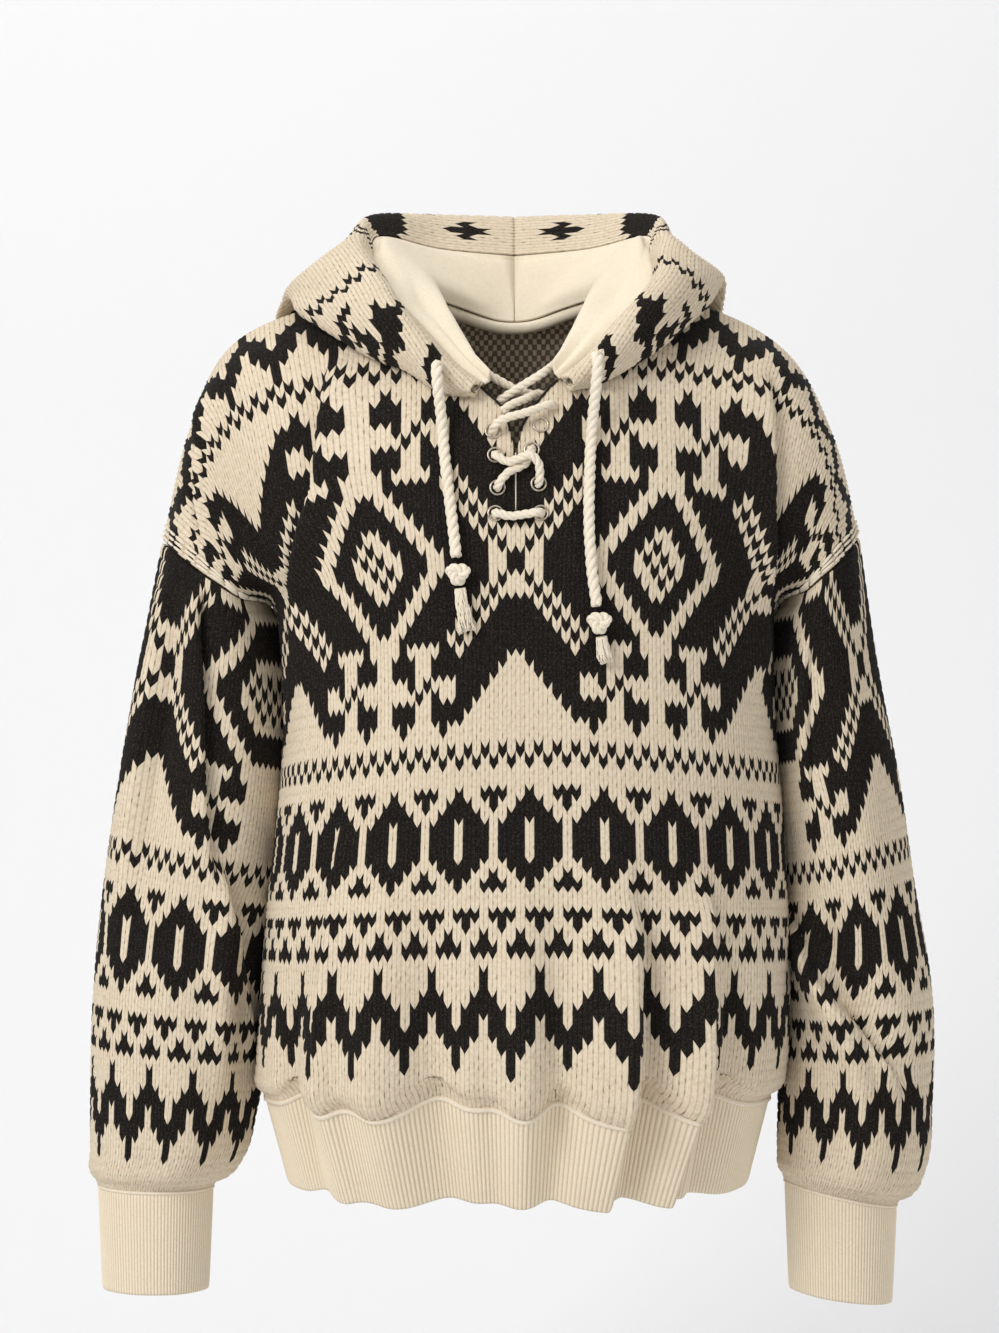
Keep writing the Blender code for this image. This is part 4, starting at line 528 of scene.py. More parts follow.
def body(across, row, back=False):
    """Points of a body panel with its folds and the sag of the folds at the rib seam."""
    across = np.asarray(across, float)
    row = np.asarray(row, float)

    def smooth(a, r):
        return body_smooth(np.clip(a, -1, 1), r, back)

    normal = normals(smooth, across, row, 1.0, 1.0) * (-1.0 if back else 1.0)
    lift, slide = creases(BACK_CREASES if back else FRONT_CREASES, across, row)
    edge = 1 - ramp(np.abs(across), 0.93, 1.0)
    height = body_folds(across, row, back) + edge * lift
    points = smooth(across, row) + normal * height[:, None]
    points += tangents(smooth, across, row, 1.0) * (edge * slide)[:, None]
    points[:, 2] -= HEM_SAG * height * (1 - ramp(row, 0.0, 14.0))
    return points


def armhole_row(angle):
    """The body row that meets a sleeve at an angle round it, and whether it is on the back."""
    angle = np.mod(angle, 360.0)
    back = angle > 180.0
    share = np.where(back, 360.0 - angle, angle)
    return np.interp(share, ROUND_SLEEVE[:5], ARMHOLE_ROWS), back


def armhole(angle, side):
    """Points of the armhole seam, on the body's own edge."""
    row, back = armhole_row(angle)
    across = np.full_like(row, side)
    return np.where(back[:, None], body(across, row, True), body(across, row, False))


def sleeve_net(table, side):
    """Rings of a sleeve, from the cuff seam up to the armhole."""
    turn = np.radians(ROUND_SLEEVE)
    rings = []
    for _, height, rise, inner, outer, front, back in table:
        centre = (inner + outer) / 2
        x = centre + (inner - outer) / 2 * np.cos(turn)
        middle = (front + back) / 2
        y = middle + (front - back) / 2 * np.sin(turn)
        z = height + rise * (x - centre) * side
        rings.append(np.stack([x, y, z], axis=1))
    rings.append(armhole(np.array(ROUND_SLEEVE, float), side))
    return np.array(rings)


SLEEVE_TABLES = {-1: SLEEVE_ROWS_RIGHT, 1: SLEEVE_ROWS_LEFT}
SLEEVE_FOLD_TABLES = {-1: SLEEVE_FOLDS_RIGHT, 1: SLEEVE_FOLDS_LEFT}
SLEEVE_NETS = {side: sleeve_net(SLEEVE_TABLES[side], side) for side in WORDS}
SLEEVE_NET_ROWS = [row[0] for row in SLEEVE_ROWS_RIGHT] + [SLEEVE_ROWS]


def sleeve(angle, row, side):
    """Points of a sleeve. Its top ring lies on the body's armhole edge."""
    angle = np.asarray(angle, float)
    row = np.asarray(row, float)
    net = SLEEVE_NETS[side]

    def smooth(a, r):
        by_row = spread(SLEEVE_NET_ROWS, r)
        by_angle = spread(ROUND_SLEEVE, a, loop=360.0)
        points = on_net(by_row, by_angle, net)
        top = np.einsum("qj,jk->qk", by_angle, net[-1])
        return points + (armhole(a, side) - top) * ramp(r, SLEEVE_ROWS - 10, SLEEVE_ROWS)[:, None]

    # Going round by the front turns opposite ways on the two sides.
    normal = normals(smooth, angle, row, 360.0, 1.0) * (1.0 if side < 0 else -1.0)
    height = np.zeros_like(angle)
    for deepest, down, up, foot, head, reach_back, reach_on, rise in SLEEVE_FOLD_TABLES[side]:
        share = (row - (deepest - down)) / (down + up)
        centre = foot + (head - foot) * np.clip(share, 0, 1)
        offset = np.mod(angle - centre + 180, 360) - 180
        reach = np.where(offset < 0, reach_back, reach_on)
        distance = np.where(row < deepest, (deepest - row) / down, (row - deepest) / up)
        height += rise * np.exp(-((offset / reach) ** 2)) * (1 - ramp(distance, 0.2, 1.0))
    lift, slide = creases(SLEEVE_CREASES_RIGHT if side < 0 else SLEEVE_CREASES_LEFT, angle, row, 360.0)
    ends = (1 - ramp(row, SLEEVE_ROWS - 4, SLEEVE_ROWS)) * ramp(row, 0, 3)
    move = normal * ((height + lift) * ends)[:, None]
    move += tangents(smooth, angle, row, 360.0) * (slide * ends)[:, None]
    return smooth(angle, row) + move


# ---------------------------------------------------------------- edges and the hood's surfaces
def edge_across(row, side):
    """Place across of the front's edge beside the opening and the neck."""
    table = FRONT_EDGE_RIGHT if side < 0 else FRONT_EDGE_LEFT
    return np.interp(row, [r[0] for r in table], [r[1] for r in table])


def back_top_row(across):
    """The back panel's top row: the neckline near the centre, then the shoulder seam."""
    share = np.clip(np.abs(across) / NECK_HALF_SPAN, 0, 1)
    return BACK_NECK_ROW + (ROWS_TO_SHOULDER - BACK_NECK_ROW) * share**BACK_NECK_POWER


def neck_point(way, side):
    """Point of the neckline at a way round it, its place across and row, and if it is on the back."""
    front = way <= HOOD_SHOULDER
    if front:
        seam = HOOD_SEAM_RIGHT if side < 0 else HOOD_SEAM_LEFT
        row = float(np.interp(way, [w for w, _ in seam], [r for _, r in seam]))
        across = side * float(edge_across(row, side))
    else:
        across = side * NECK_HALF_SPAN * (1 - way) / (1 - HOOD_SHOULDER)
        row = float(back_top_row(across))
    return across, row, not front


def neck_frame(way, side):
    """The neckline's point, and unit vectors out of the cloth and into the neck."""
    across, row, back = neck_point(way, side)
    point = body([across], [row], back)[0]
    normal = surface_normal(across, row, back)
    before = neck_point(max(way - 0.02, 0.0), side)
    after = neck_point(min(way + 0.02, 1.0), side)
    start = body([before[0]], [before[1]], before[2])[0]
    end = body([after[0]], [after[1]], after[2])[0]
    return point, normal, unit(np.cross(normal, unit(end - start)) * side)


def surface_normal(across, row, back=False):
    """Unit normal out of a body panel's surface, folds and all."""
    step = 0.004
    low = max(row - 0.3, 0.0)
    high = min(row + 0.3, ROWS_TO_SHOULDER)
    left = max(across - step, -1.0)
    right = min(across + step, 1.0)
    along = body([right], [row], back)[0] - body([left], [row], back)[0]
    up = body([across], [high], back)[0] - body([across], [low], back)[0]
    return unit(np.cross(along, up) * (-1.0 if back else 1.0))


HOOD_WAYS = [row[0] for row in HOOD_ROWS_RIGHT]


def sections(way, side, right, left):
    """The points of a table's sections at each way round the neck."""
    table = np.array([row[1:] for row in (right if side < 0 else left)], float)
    return np.einsum("qi,ijk->qjk", spread(HOOD_WAYS, way), table)


def neck_columns(way, side, inset, rise, lean):
    """Seam and rise points at each way round the neck."""
    ways, which = np.unique(np.round(way, 6), return_inverse=True)
    seam = []
    for each in ways:
        point, normal, inward = neck_frame(float(each), side)
        start = point + inward * inset
        seam.append((start, start + normal * rise + inward * lean))
    return np.array(seam)[which.reshape(-1)]


def drawn_in(points, side):
    """The hood's cloth drawn in a little at its sides, more on the left above the shoulder."""
    if side < 0:
        amount = 0.0095 * ramp(points[:, 2], -0.012, 0.004)
    else:
        amount = 0.0110 * ramp(points[:, 2], 0.008, 0.030)
    points[:, 0] -= side * amount * ramp(np.abs(points[:, 0]), 0.05, 0.13)
    return points


def hood(way, place, side):
    """Points of the hood's outer cloth. place is 0 at the neck seam and 1 at the mouth edge."""
    return drawn_in(hood_plain(way, place, side), side)


def hood_plain(way, place, side):
    """The hood's cloth before it is drawn in."""
    way = np.asarray(way, float)
    table = sections(way, side, HOOD_ROWS_RIGHT, HOOD_ROWS_LEFT)
    start = neck_columns(way, side, HOOD_INSET, HOOD_RISE, HOOD_LEAN)
    return np.einsum("qj,qjk->qk", spread(HOOD_PROFILE, place), np.concatenate([start, table], axis=1))


def lining(way, place, side):
    """Points of the lining. place is 0 at the neck seam and 1 at the mouth edge."""
    way = np.asarray(way, float)
    table = sections(way, side, LINING_ROWS_RIGHT, LINING_ROWS_LEFT)
    start = neck_columns(way, side, LINING_INSET, LINING_RISE, LINING_LEAN)
    last = hood_plain(way, np.ones_like(way), side)
    onward = unit(last - hood_plain(way, np.full_like(way, 0.985), side))
    edge = (last + onward * (SEAM_GAP + FLEECE_WALL * 0.8))[:, None]
    net = np.concatenate([start, table, edge], axis=1)
    return drawn_in(np.einsum("qj,qjk->qk", spread(LINING_PROFILE, place), net), side)


def smooth_way(points, step):
    """Points a step apart along a smooth curve through given ones."""
    points = np.asarray(points, float)
    chord = np.r_[0, np.cumsum(np.linalg.norm(np.diff(points, axis=0), axis=1) ** 0.5)]
    fine = spread(chord, np.linspace(0, chord[-1], 40 * len(points))) @ points
    length = lengths(fine)
    count = max(int(round(length[-1] / step)), 2)
    wanted = np.linspace(0, length[-1], count + 1)
    return np.stack([np.interp(wanted, length, fine[:, k]) for k in range(3)], axis=1)


def on_front(way):
    """Points off the front: place across, row, distance out."""
    return np.array([body([a], [r])[0] + surface_normal(a, r) * lift for a, r, lift in way])


def frame_at(across, row):
    """A point of the front's middle surface with its outward, sideways and upward directions."""
    point = body([across], [row])[0]
    out = surface_normal(across, row)
    sideways = unit(np.cross((0.0, 0.0, 1.0), out) * -1.0)
    return point, out, sideways, np.cross(out, sideways)


# ---------------------------------------------------------------- clearances at seams
HOOD_INSET = SEAM_GAP * 5 + KNIT_WALL * 0.6  # the hood's seam, in from the neckline
HOOD_LEAN = 0.0006  # how far its rise leans into the neck
LINING_INSET = SEAM_GAP * 10 + KNIT_WALL * 1.1 + FLEECE_WALL / 2
LINING_LEAN = 0.002


# ---------------------------------------------------------------- charts of the knit
def apart(stitch, centre, repeat):
    """Whole stitches from each stitch to the nearest of the centres that recur every repeat."""
    half = repeat // 2
    return np.abs(np.mod(stitch - centre + half, repeat) - half)


def crowns(stitch, row, top, centre, repeat):
    """Small crowns, point down in the two rows from top, point up in the two below."""
    down = apart(stitch, centre, repeat)
    up = apart(stitch, centre + repeat // 2, repeat)
    dark = (row == top) & (down <= 1) | (row == top - 1) & (down == 0)
    return dark | (row == top - 2) & (up == 0) | (row == top - 3) & (up <= 1)


def peaks(stitch, row, top, centre):
    """A deep zigzag, six stitches to a repeat and nine rows high."""
    off = apart(stitch, centre, 6)
    drop = top - row
    first = np.choose(off, (0, 2, 3, 5))
    last = np.choose(off, (3, 5, 6, 8))
    return (drop >= first) & (drop <= last)


def ovals(stitch, row, top, centre):
    """Slit ovals, eight stitches to a repeat, with half crowns between them."""
    off = apart(stitch, centre, 8)
    between = apart(stitch, centre + 4, 8)
    drop = np.clip(top - row, -1, 10)
    reach = np.array((-1, 0, 1, 2, 3, 3, 3, 3, 2, 1, 0, -1))[drop + 1]
    slit = (off == 0) & (drop >= 3) & (drop <= 6)
    dark = (off <= reach) & ~slit
    dark |= (drop == 0) & (between <= 1) | (drop == 1) & (between == 0)
    return dark | (drop == 8) & (between == 0) | (drop == 9) & (between <= 1)


def zigzag(stitch, row, top):
    """A two row zigzag of single stitches."""
    even = np.mod(stitch, 2) == 0
    return (row == top) & even | (row == top - 1) & ~even


def star_field(x, y, check):
    """Eight petalled stars, lozenges between them and four petalled flowers at their corners.

    x and y are in stitches and rows from a star's middle; check is a chequer.
    """
    half = STAR_REPEAT / 2
    beside = np.abs(x)
    above = np.abs(y)
    long = np.maximum(beside, above)
    short = np.minimum(beside, above)
    gap = long - short
    star = (short < 7) & (gap >= 2) & (gap <= 7)
    star |= (gap < 1) & (long < 9)
    star &= ~((long < 3) & (gap > 1))
    lozenge = (half - beside) + above
    ring = (lozenge >= 4) & (lozenge <= 6) | (lozenge <= 2) & check
    east = np.abs(beside - FLOWER_PLACE[0])
    north = np.abs(above - FLOWER_PLACE[1])
    petal = (east > 1) & (east < 4) & (north > 1) & (north < 3)
    petal |= (np.abs(east - 2.5) < 0.6) & (north > 3) & (north < 4)
    petal |= (east < 2) & (north < 1) & check
    return star | ring | petal


STAR_REPEAT = 32
FLOWER_PLACE = (11, 11)
STAR_ROW = 50.0


def main_chart(stitch, row, star_centre, repeat):
    """Dark stitches of a panel or sleeve, rows counted up from its rib."""
    dark = peaks(stitch, row, 12, 2)
    dark |= crowns(stitch, row, 17, 2, 4)
    dark |= ovals(stitch, row, 29, 1)
    dark |= zigzag(stitch, row, 33)
    x = np.mod(stitch + 0.5 - star_centre + repeat / 2, repeat) - repeat / 2
    x = np.sign(x) * np.minimum(np.abs(x), STAR_REPEAT / 2 - 0.5)
    check = np.mod(stitch + row, 2) == 0
    inside = (row >= 35) & (row < 65)
    dark |= inside & star_field(x, row + 0.5 - STAR_ROW, check)
    dark |= zigzag(stitch, row, 67)
    dark |= peaks(stitch, row, 76, 2)
    return dark.astype(int)


# ---------------------------------------------------------------- knit shells
LEG = (0.0, 0.25, 0.5, 0.75)  # places across a stitch
CLIMB = (0.0, 0.25, 0.75)  # places up a row
LEG_HEIGHT = (0.0, 1.0, 0.12, 1.0)
CLIMB_HEIGHT = (0.12, 0.95, 1.0)
CHEVRON = 0.7  # how far a stitch's legs rise outwards, in rows
RELIEF = 0.0010  # how proud the yarn stands
INNER_YARN = -1.0  # marks the inner face, where the two yarns alternate
OUTER_MAP = (0.01, 0.68)  # where the outer face starts up the flat map, and its height there
INNER_MAP = (0.71, 0.28)


def stitch_grid(columns, rows, closed=False):
    """Stitch coordinates of a fine grid: across, up and how proud each point stands."""
    count = columns * len(LEG) + (0 if closed else 1)
    across = np.arange(count) / len(LEG)
    up = np.concatenate([[r + t for t in CLIMB] for r in range(rows)] + [[rows]])
    tip = np.abs(np.mod(across, 1.0) - 0.5) * 2
    fade = np.clip(np.minimum(up, rows - up), 0, 1)
    lift = CHEVRON * (tip[None, :] - 0.5) * fade[:, None]
    height = np.array([LEG_HEIGHT[i % len(LEG)] for i in range(count)])[None, :]
    climb = np.array([CLIMB_HEIGHT[i % len(CLIMB)] for i in range(len(up))])[:, None]
    grid_up = up[:, None] + lift
    grid_across = np.broadcast_to(across, grid_up.shape)
    return grid_across.copy(), grid_up, height * climb


def yarn_faces(cloth, out, height):
    """The outer face, with the yarn's relief, and the inner face of knit cloth."""
    outer = cloth + out * (KNIT_WALL / 2 - RELIEF / 2 + RELIEF * height[..., None])
    return outer, cloth - out * (KNIT_WALL / 2)


def loops_of(edges):
    """Joins directed edges into closed loops."""
    after = {}
    for a, b in edges:
        after.setdefault(a, []).append(b)
    loops = []
    while after:
        start = next(iter(after))
        loop = [start]
        here = start
        while True:
            onward = after[here]
            there = onward.pop()
            if not onward:
                del after[here]
            if there == start:
                break
            loop.append(there)
            here = there
        loops.append(loop)
    return loops


def shell(name, outer, inner, keep, blocks, climb, spots, flip=False, ids=None, cells=None):
    """A closed thin shell. outer and inner are grids of points, keep says which quads are cloth.

    blocks are the first and last grid columns of each stitch, climb is how many grid rows a
    stitch has, and spots are the grid columns' stitch coordinates. The inner face has one face
    a stitch. ids are the grid's point numbers where some are shared.
    """
    rows, columns = keep.shape
    width = outer.shape[1]
    if ids is None:
        ids = np.arange(outer.shape[0] * width).reshape(outer.shape[0], width)
    right = (np.arange(columns) + 1) % width
    low = ids[:-1]
    high = ids[1:]
    quads = np.stack([low[:, :columns], low[:, right], high[:, right], high[:, :columns]], axis=-1)
    total = outer.shape[0] * width
    around = np.roll(quads, -1, axis=-1)
    keys = quads.astype(np.int64) * total + around
    opposite = around.astype(np.int64) * total + quads
    bare = ~np.isin(opposite, keys[keep].ravel())  # edges with no neighbour
    block_of = np.zeros(columns, int)
    for number, (j0, j1) in enumerate(blocks):
        block_of[j0:j1] = number
    faces = []
    places = []
    kinds = []
    stitches = []

    def add(face, place, kind, row, block):
        faces.append(face)
        places.append(place)
        kinds.append(kind)
        stitches.append((row, block))

    for i, j in np.argwhere(keep).tolist():
        ring = [(i, j), (i, j + 1), (i + 1, j + 1), (i + 1, j)]
        add(quads[i, j].tolist(), ring, 0, i // climb, block_of[j])
    for row in range(rows // climb):
        i0 = row * climb
        i1 = i0 + climb
        for number, (j0, j1) in enumerate(blocks):
            kept = keep[i0:i1, j0:j1]
            if not kept.any():
                continue
            corners = [(i0, j0), (i0, j1), (i1, j1), (i1, j0)]
            open_side = bare[i0, j0:j1, 0].any() or bare[i1 - 1, j0:j1, 2].any()
            open_side = open_side or bare[i0:i1, j1 - 1, 1].any() or bare[i0:i1, j0, 3].any()
            outlines = [corners]
            if open_side or not kept.all():
                outlines = cut_outlines(keep, bare, corners)
            for outline in outlines:
                outline = outline[::-1]
                face = [int(ids[i, j % width]) + total for i, j in outline]
                add(face, outline, 1, row, number)
    for i, j, k in np.argwhere(bare & keep[..., None]).tolist():
        a = int(quads[i, j, k])
        b = int(around[i, j, k])
        if a != b:
            ring = [(i, j), (i, j + 1), (i + 1, j + 1), (i + 1, j)]
            start, end = ring[k], ring[(k + 1) % 4]
            add([b, a, a + total, b + total], [end, start, start, end], 2, i // climb, block_of[j])
    if flip:
        faces = [f[::-1] for f in faces]
        places = [p[::-1] for p in places]
    points = np.zeros((total * 2, 3))
    points[ids.ravel()] = outer.reshape(-1, 3)
    points[ids.ravel() + total] = inner.reshape(-1, 3)
    flat_uv = []
    stitch_uv = []
    widest = float(spots[-1])
    for place, kind in zip(places, kinds):
        base, span = INNER_MAP if kind == 1 else OUTER_MAP
        for i, j in place:
            flat_uv += [0.01 + 0.98 * spots[j] / widest, base + span * i / rows]
            stitch_uv += [spots[j], i / climb]
    item = new_piece(name, points, faces, flat_uv, stitch_uv)
    kinds = np.array(kinds)
    if cells is not None:
        stitches = np.array(stitches)
        yarn = cells[stitches[:, 0], stitches[:, 1]].astype(float)
        yarn = np.where(kinds == 1, INNER_YARN, yarn)
        layer = item.data.attributes.new("yarn", "FLOAT", "FACE")
        layer.data.foreach_set("value", yarn)
    return item


def cut_outlines(keep, bare, corners):
    """The outlines of a stitch at an edge, with no points that its neighbours lack."""
    (i0, j0), _, (i1, j1), _ = corners
    edges = {}
    for i in range(i0, i1):
        for j in range(j0, j1):
            if not keep[i, j]:
                continue
            ring = [(i, j), (i, j + 1), (i + 1, j + 1), (i + 1, j)]
            for k in range(4):
                edge = (ring[k], ring[(k + 1) % 4])
                if edge[::-1] in edges:
                    del edges[edge[::-1]]
                else:
                    edges[edge] = bool(bare[i, j, k])
    outlines = []
    for loop in loops_of(edges):
        outline = []
        for k, point in enumerate(loop):
            before = edges[(loop[k - 1], point)]
            after = edges[(point, loop[(k + 1) % len(loop)])]
            if point in corners or before or after:
                outline.append(point)
        if len(outline) >= 3:
            outlines.append(outline)
    return outlines


def new_piece(name, points, faces, flat_uv, stitch_uv=None):
    """A mesh piece that rides on the garment, with its own flat map. Unused points are dropped."""
    used = np.zeros(len(points), bool)
    flat = np.array([n for f in faces for n in f])
    used[flat] = True
    new_ids = np.cumsum(used) - 1
    mesh = bpy.data.meshes.new(name)
    mesh.from_pydata(
        np.asarray(points)[used].tolist(), [], [[int(new_ids[n]) for n in f] for f in faces]
    )
    layer = mesh.uv_layers.new(name="OFBake")
    layer.data.foreach_set("uv", np.array(flat_uv, dtype=np.float32))
    layer.active_render = True
    if stitch_uv is not None:
        layer = mesh.uv_layers.new(name="stitch")
        layer.data.foreach_set("uv", np.array(stitch_uv, dtype=np.float32))
    mesh.polygons.foreach_set("use_smooth", [True] * len(mesh.polygons))
    mesh.update()
    item = bpy.data.objects.new(name, mesh)
    bpy.context.scene.collection.objects.link(item)
    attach(item, "root")
    return item


def dressed(item, node, material):
    """Hides the solid that a piece stands for, if one is named, and gives the piece its material."""
    if node:
        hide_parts(node)
    item.data.materials.append(material)
    return item


# ---------------------------------------------------------------- materials
def node(tree, kind, inputs=None, **settings):
    """A new node with its settings and its inputs, which are values or other nodes' outputs."""
    made = tree.nodes.new(kind)
    for key, value in settings.items():
        setattr(made, key, value)
    for key, value in (inputs or {}).items():
        socket = made.inputs[key]
        if isinstance(value, bpy.types.NodeSocket):
            tree.links.new(value, socket)
        else:
            socket.default_value = value
    return made


def maths(tree, operation, first, second=0.0, third=None):
    """The output of a sum on two values or sockets."""
    values = {0: first, 1: second} if third is None else {0: first, 1: second, 2: third}
    return node(tree, "ShaderNodeMath", values, operation=operation).outputs[0]


def mixed(tree, share, first, second):
    """The colour between two, by a share."""
    return node(tree, "ShaderNodeMix", {0: share, 6: first, 7: second}, data_type="RGBA").outputs[2]


def fresh(name):
    """A new material and its Principled shader."""
    material = bpy.data.materials.new(name)
    material.use_nodes = True
    shader = next(n for n in material.node_tree.nodes if n.type == "BSDF_PRINCIPLED")
    return material, material.node_tree, shader


CREAM = (0.765, 0.66, 0.505, 1.0)
CREAM_SHADE = (0.60, 0.48, 0.335, 1.0)
CREAM_FLECK = (0.17, 0.115, 0.075, 1.0)
CHARCOAL = (0.0076, 0.0054, 0.0038, 1.0)
CHARCOAL_LIGHT = (0.055, 0.048, 0.042, 1.0)
RIB_CREAM = (0.83, 0.725, 0.555, 1.0)
RIB_SHADE = (0.68, 0.56, 0.41, 1.0)
FLEECE = (0.82, 0.73, 0.57, 1.0)
FLEECE_SHADE = (0.73, 0.62, 0.46, 1.0)
ROPE = (0.86, 0.78, 0.64, 1.0)
ROPE_SHADE = (0.68, 0.57, 0.42, 1.0)
SEAM_CREAM = (0.80, 0.72, 0.58, 1.0)
SEAM_SHADE = (0.62, 0.51, 0.37, 1.0)
# painted shade for the valleys between the stitches' legs, on the cream and on the charcoal
STITCH_VALLEY_SHADE = (0.42, 0.32, 0.22, 1.0)
DARK_VALLEY_SHADE = (0.004, 0.0035, 0.003, 1.0)
# painted shade for the valleys between the ribs
RIB_VALLEY_SHADE = (0.36, 0.27, 0.18, 1.0)
SILVER = (0.50, 0.46, 0.40, 1.0)
BRASS = (0.34, 0.27, 0.18, 1.0)


def spread_of(tree, value, low, high, top=1.0):
    """A value rescaled to run from nought at low to top at high."""
    return node(tree, "ShaderNodeMapRange", {0: value, 1: low, 2: high, 3: 0.0, 4: top}).outputs[0]


def noise(tree, here, scale, detail=2.0, roughness=0.5):
    """Soft noise at a scale."""
    return node(tree, "ShaderNodeTexNoise",
                {"Vector": here, "Scale": scale, "Detail": detail, "Roughness": roughness}).outputs[0]


def from_whole(tree, value):
    """How far a value is from the nearest whole number."""
    return maths(tree, "PINGPONG", value, 0.5)


def cloth_finish(tree, shader, sheen, fibre, strength):
    """The dull, faintly napped surface all the yarns share."""
    shader.inputs["Roughness"].default_value = 0.95
    shader.inputs["Sheen Weight"].default_value = sheen
    shader.inputs["Sheen Roughness"].default_value = 0.5
    shader.inputs["Specular IOR Level"].default_value = 0.15
    bump = node(tree, "ShaderNodeBump", {"Height": fibre, "Strength": strength, "Distance": 0.0006})
    tree.links.new(bump.outputs[0], shader.inputs["Normal"])


def knit_material(name):
    """Marled yarns: cream with brown flecks between the stitches' legs, charcoal with paler fibres; painted
    shade in the legs' valleys.
    """
    material, tree, shader = fresh(name)
    yarn = node(tree, "ShaderNodeAttribute", attribute_name="yarn").outputs["Fac"]
    stitch = node(tree, "ShaderNodeUVMap", uv_map="stitch").outputs[0]
    here = node(tree, "ShaderNodeTexCoord").outputs["Object"]
    split = node(tree, "ShaderNodeSeparateXYZ", {0: stitch})
    legs = maths(tree, "MULTIPLY", split.outputs[0], 2.0)
    between = from_whole(tree, legs)
    foot = from_whole(tree, split.outputs[1])
    # painted shade: darker towards the valleys between the legs and between the columns
    valley_shade = spread_of(tree, between, 0.20, 0.02)
    # flecks stand upright in the valleys, about the foot of each stitch
    reach = maths(tree, "ADD", maths(tree, "POWER", maths(tree, "MULTIPLY", between, 7.0), 2.0),
                  maths(tree, "POWER", maths(tree, "MULTIPLY", foot, 2.6), 2.0))
    hole = spread_of(tree, reach, 1.0, 0.3)
    low_x = maths(tree, "FLOOR", maths(tree, "ADD", legs, 0.5))
    low_y = maths(tree, "FLOOR", maths(tree, "ADD", split.outputs[1], 0.5))
    corner = node(tree, "ShaderNodeCombineXYZ", {0: low_x, 1: low_y}).outputs[0]
    chance = node(tree, "ShaderNodeTexWhiteNoise", {"Vector": corner}, noise_dimensions="2D")
    fleck = maths(tree, "MULTIPLY", hole, spread_of(tree, chance.outputs[0], 0.35, 1.0, 0.85))
    fibre = noise(tree, here, 900.0, 3.0, 0.7)
    marl = spread_of(tree, noise(tree, here, 420.0, 3.0, 0.6), 0.45, 0.68, 0.7)
    patch = spread_of(tree, noise(tree, here, 14.0), 0.4, 0.75, 0.22)
    cream = mixed(tree, marl, CREAM, CREAM_SHADE)
    cream = mixed(tree, patch, cream, CREAM_SHADE)
    # painted shade in the valleys, on the cream here and on the charcoal below
    cream = mixed(tree, maths(tree, "MULTIPLY", valley_shade, 0.55), cream, STITCH_VALLEY_SHADE)
    cream = mixed(tree, fleck, cream, CREAM_FLECK)
    dark = mixed(tree, spread_of(tree, fibre, 0.48, 0.72, 0.9), CHARCOAL, CHARCOAL_LIGHT)
    dark = mixed(tree, maths(tree, "MULTIPLY", valley_shade, 0.7), dark, DARK_VALLEY_SHADE)
    # on the inner face the yarns alternate stitch by stitch
    cell = maths(tree, "ADD", maths(tree, "FLOOR", legs),
                 maths(tree, "FLOOR", maths(tree, "MULTIPLY", split.outputs[1], 2.0)))
    parity = maths(tree, "FLOORED_MODULO", cell, 2.0)
    inner = maths(tree, "LESS_THAN", yarn, -0.5)
    share = mixed(tree, inner, yarn, maths(tree, "MULTIPLY", parity, 0.7))
    tree.links.new(mixed(tree, share, cream, dark), shader.inputs["Base Color"])
    cloth_finish(tree, shader, 0.02, fibre, 0.45)
    return material


def plain_material(name, colour, shade, fine, strength, patch_scale=14.0, sheen=0.06, rib_shade=0.0):
    """A plain yarn or fleece: two close colours, a fine fibre, a soft patchiness, and painted shade in ribs'
    valleys.
    """
    material, tree, shader = fresh(name)
    here = node(tree, "ShaderNodeTexCoord").outputs["Object"]
    fibre = noise(tree, here, fine, 4.0, 0.7)
    base = mixed(tree, spread_of(tree, fibre, 0.45, 0.75, 0.7), colour, shade)
    base = mixed(tree, spread_of(tree, noise(tree, here, patch_scale), 0.4, 0.8, 0.3), base, shade)
    if rib_shade:
        stitch = node(tree, "ShaderNodeUVMap", uv_map="stitch").outputs[0]
        split = node(tree, "ShaderNodeSeparateXYZ", {0: stitch})
        # painted shade: darker in the valleys between the ribs, as strong as the rib shade value says
        valley_shade = spread_of(tree, from_whole(tree, split.outputs[0]), 0.28, 0.02, rib_shade)
        base = mixed(tree, valley_shade, base, RIB_VALLEY_SHADE)
    tree.links.new(base, shader.inputs["Base Color"])
    cloth_finish(tree, shader, sheen, fibre, strength)
    return material


KNIT = knit_material("jacquard knit")
RIB = plain_material("rib knit", RIB_CREAM, RIB_SHADE, 700.0, 0.4, rib_shade=0.5)
FLEECE_LOOK = plain_material("cream fleece", FLEECE, FLEECE_SHADE, 420.0, 0.6, 22.0, 0.15)
ROPE_LOOK = plain_material("cotton rope", ROPE, ROPE_SHADE, 900.0, 0.5)
SEAM_YARN = plain_material("cream seam yarn", SEAM_CREAM, SEAM_SHADE, 900.0, 0.4)
# painted shadow: charcoal yarn for the dark line along the neck edge
EDGE_SHADOW_YARN = plain_material("charcoal painted edge shadow", CHARCOAL, CHARCOAL_LIGHT, 900.0, 0.4)


def metal_material():
    """Worn antique silver with brass showing."""
    material, tree, shader = fresh("antique metal")
    here = node(tree, "ShaderNodeTexCoord").outputs["Object"]
    wear = noise(tree, here, 350.0, 3.0)
    base = mixed(tree, spread_of(tree, wear, 0.4, 0.65), SILVER, BRASS)
    tree.links.new(base, shader.inputs["Base Color"])
    shader.inputs["Metallic"].default_value = 1.0
    rough = node(tree, "ShaderNodeMapRange", {0: wear, 1: 0.3, 2: 0.7, 3: 0.22, 4: 0.45}).outputs[0]
    tree.links.new(rough, shader.inputs["Roughness"])
    return material


METAL = metal_material()


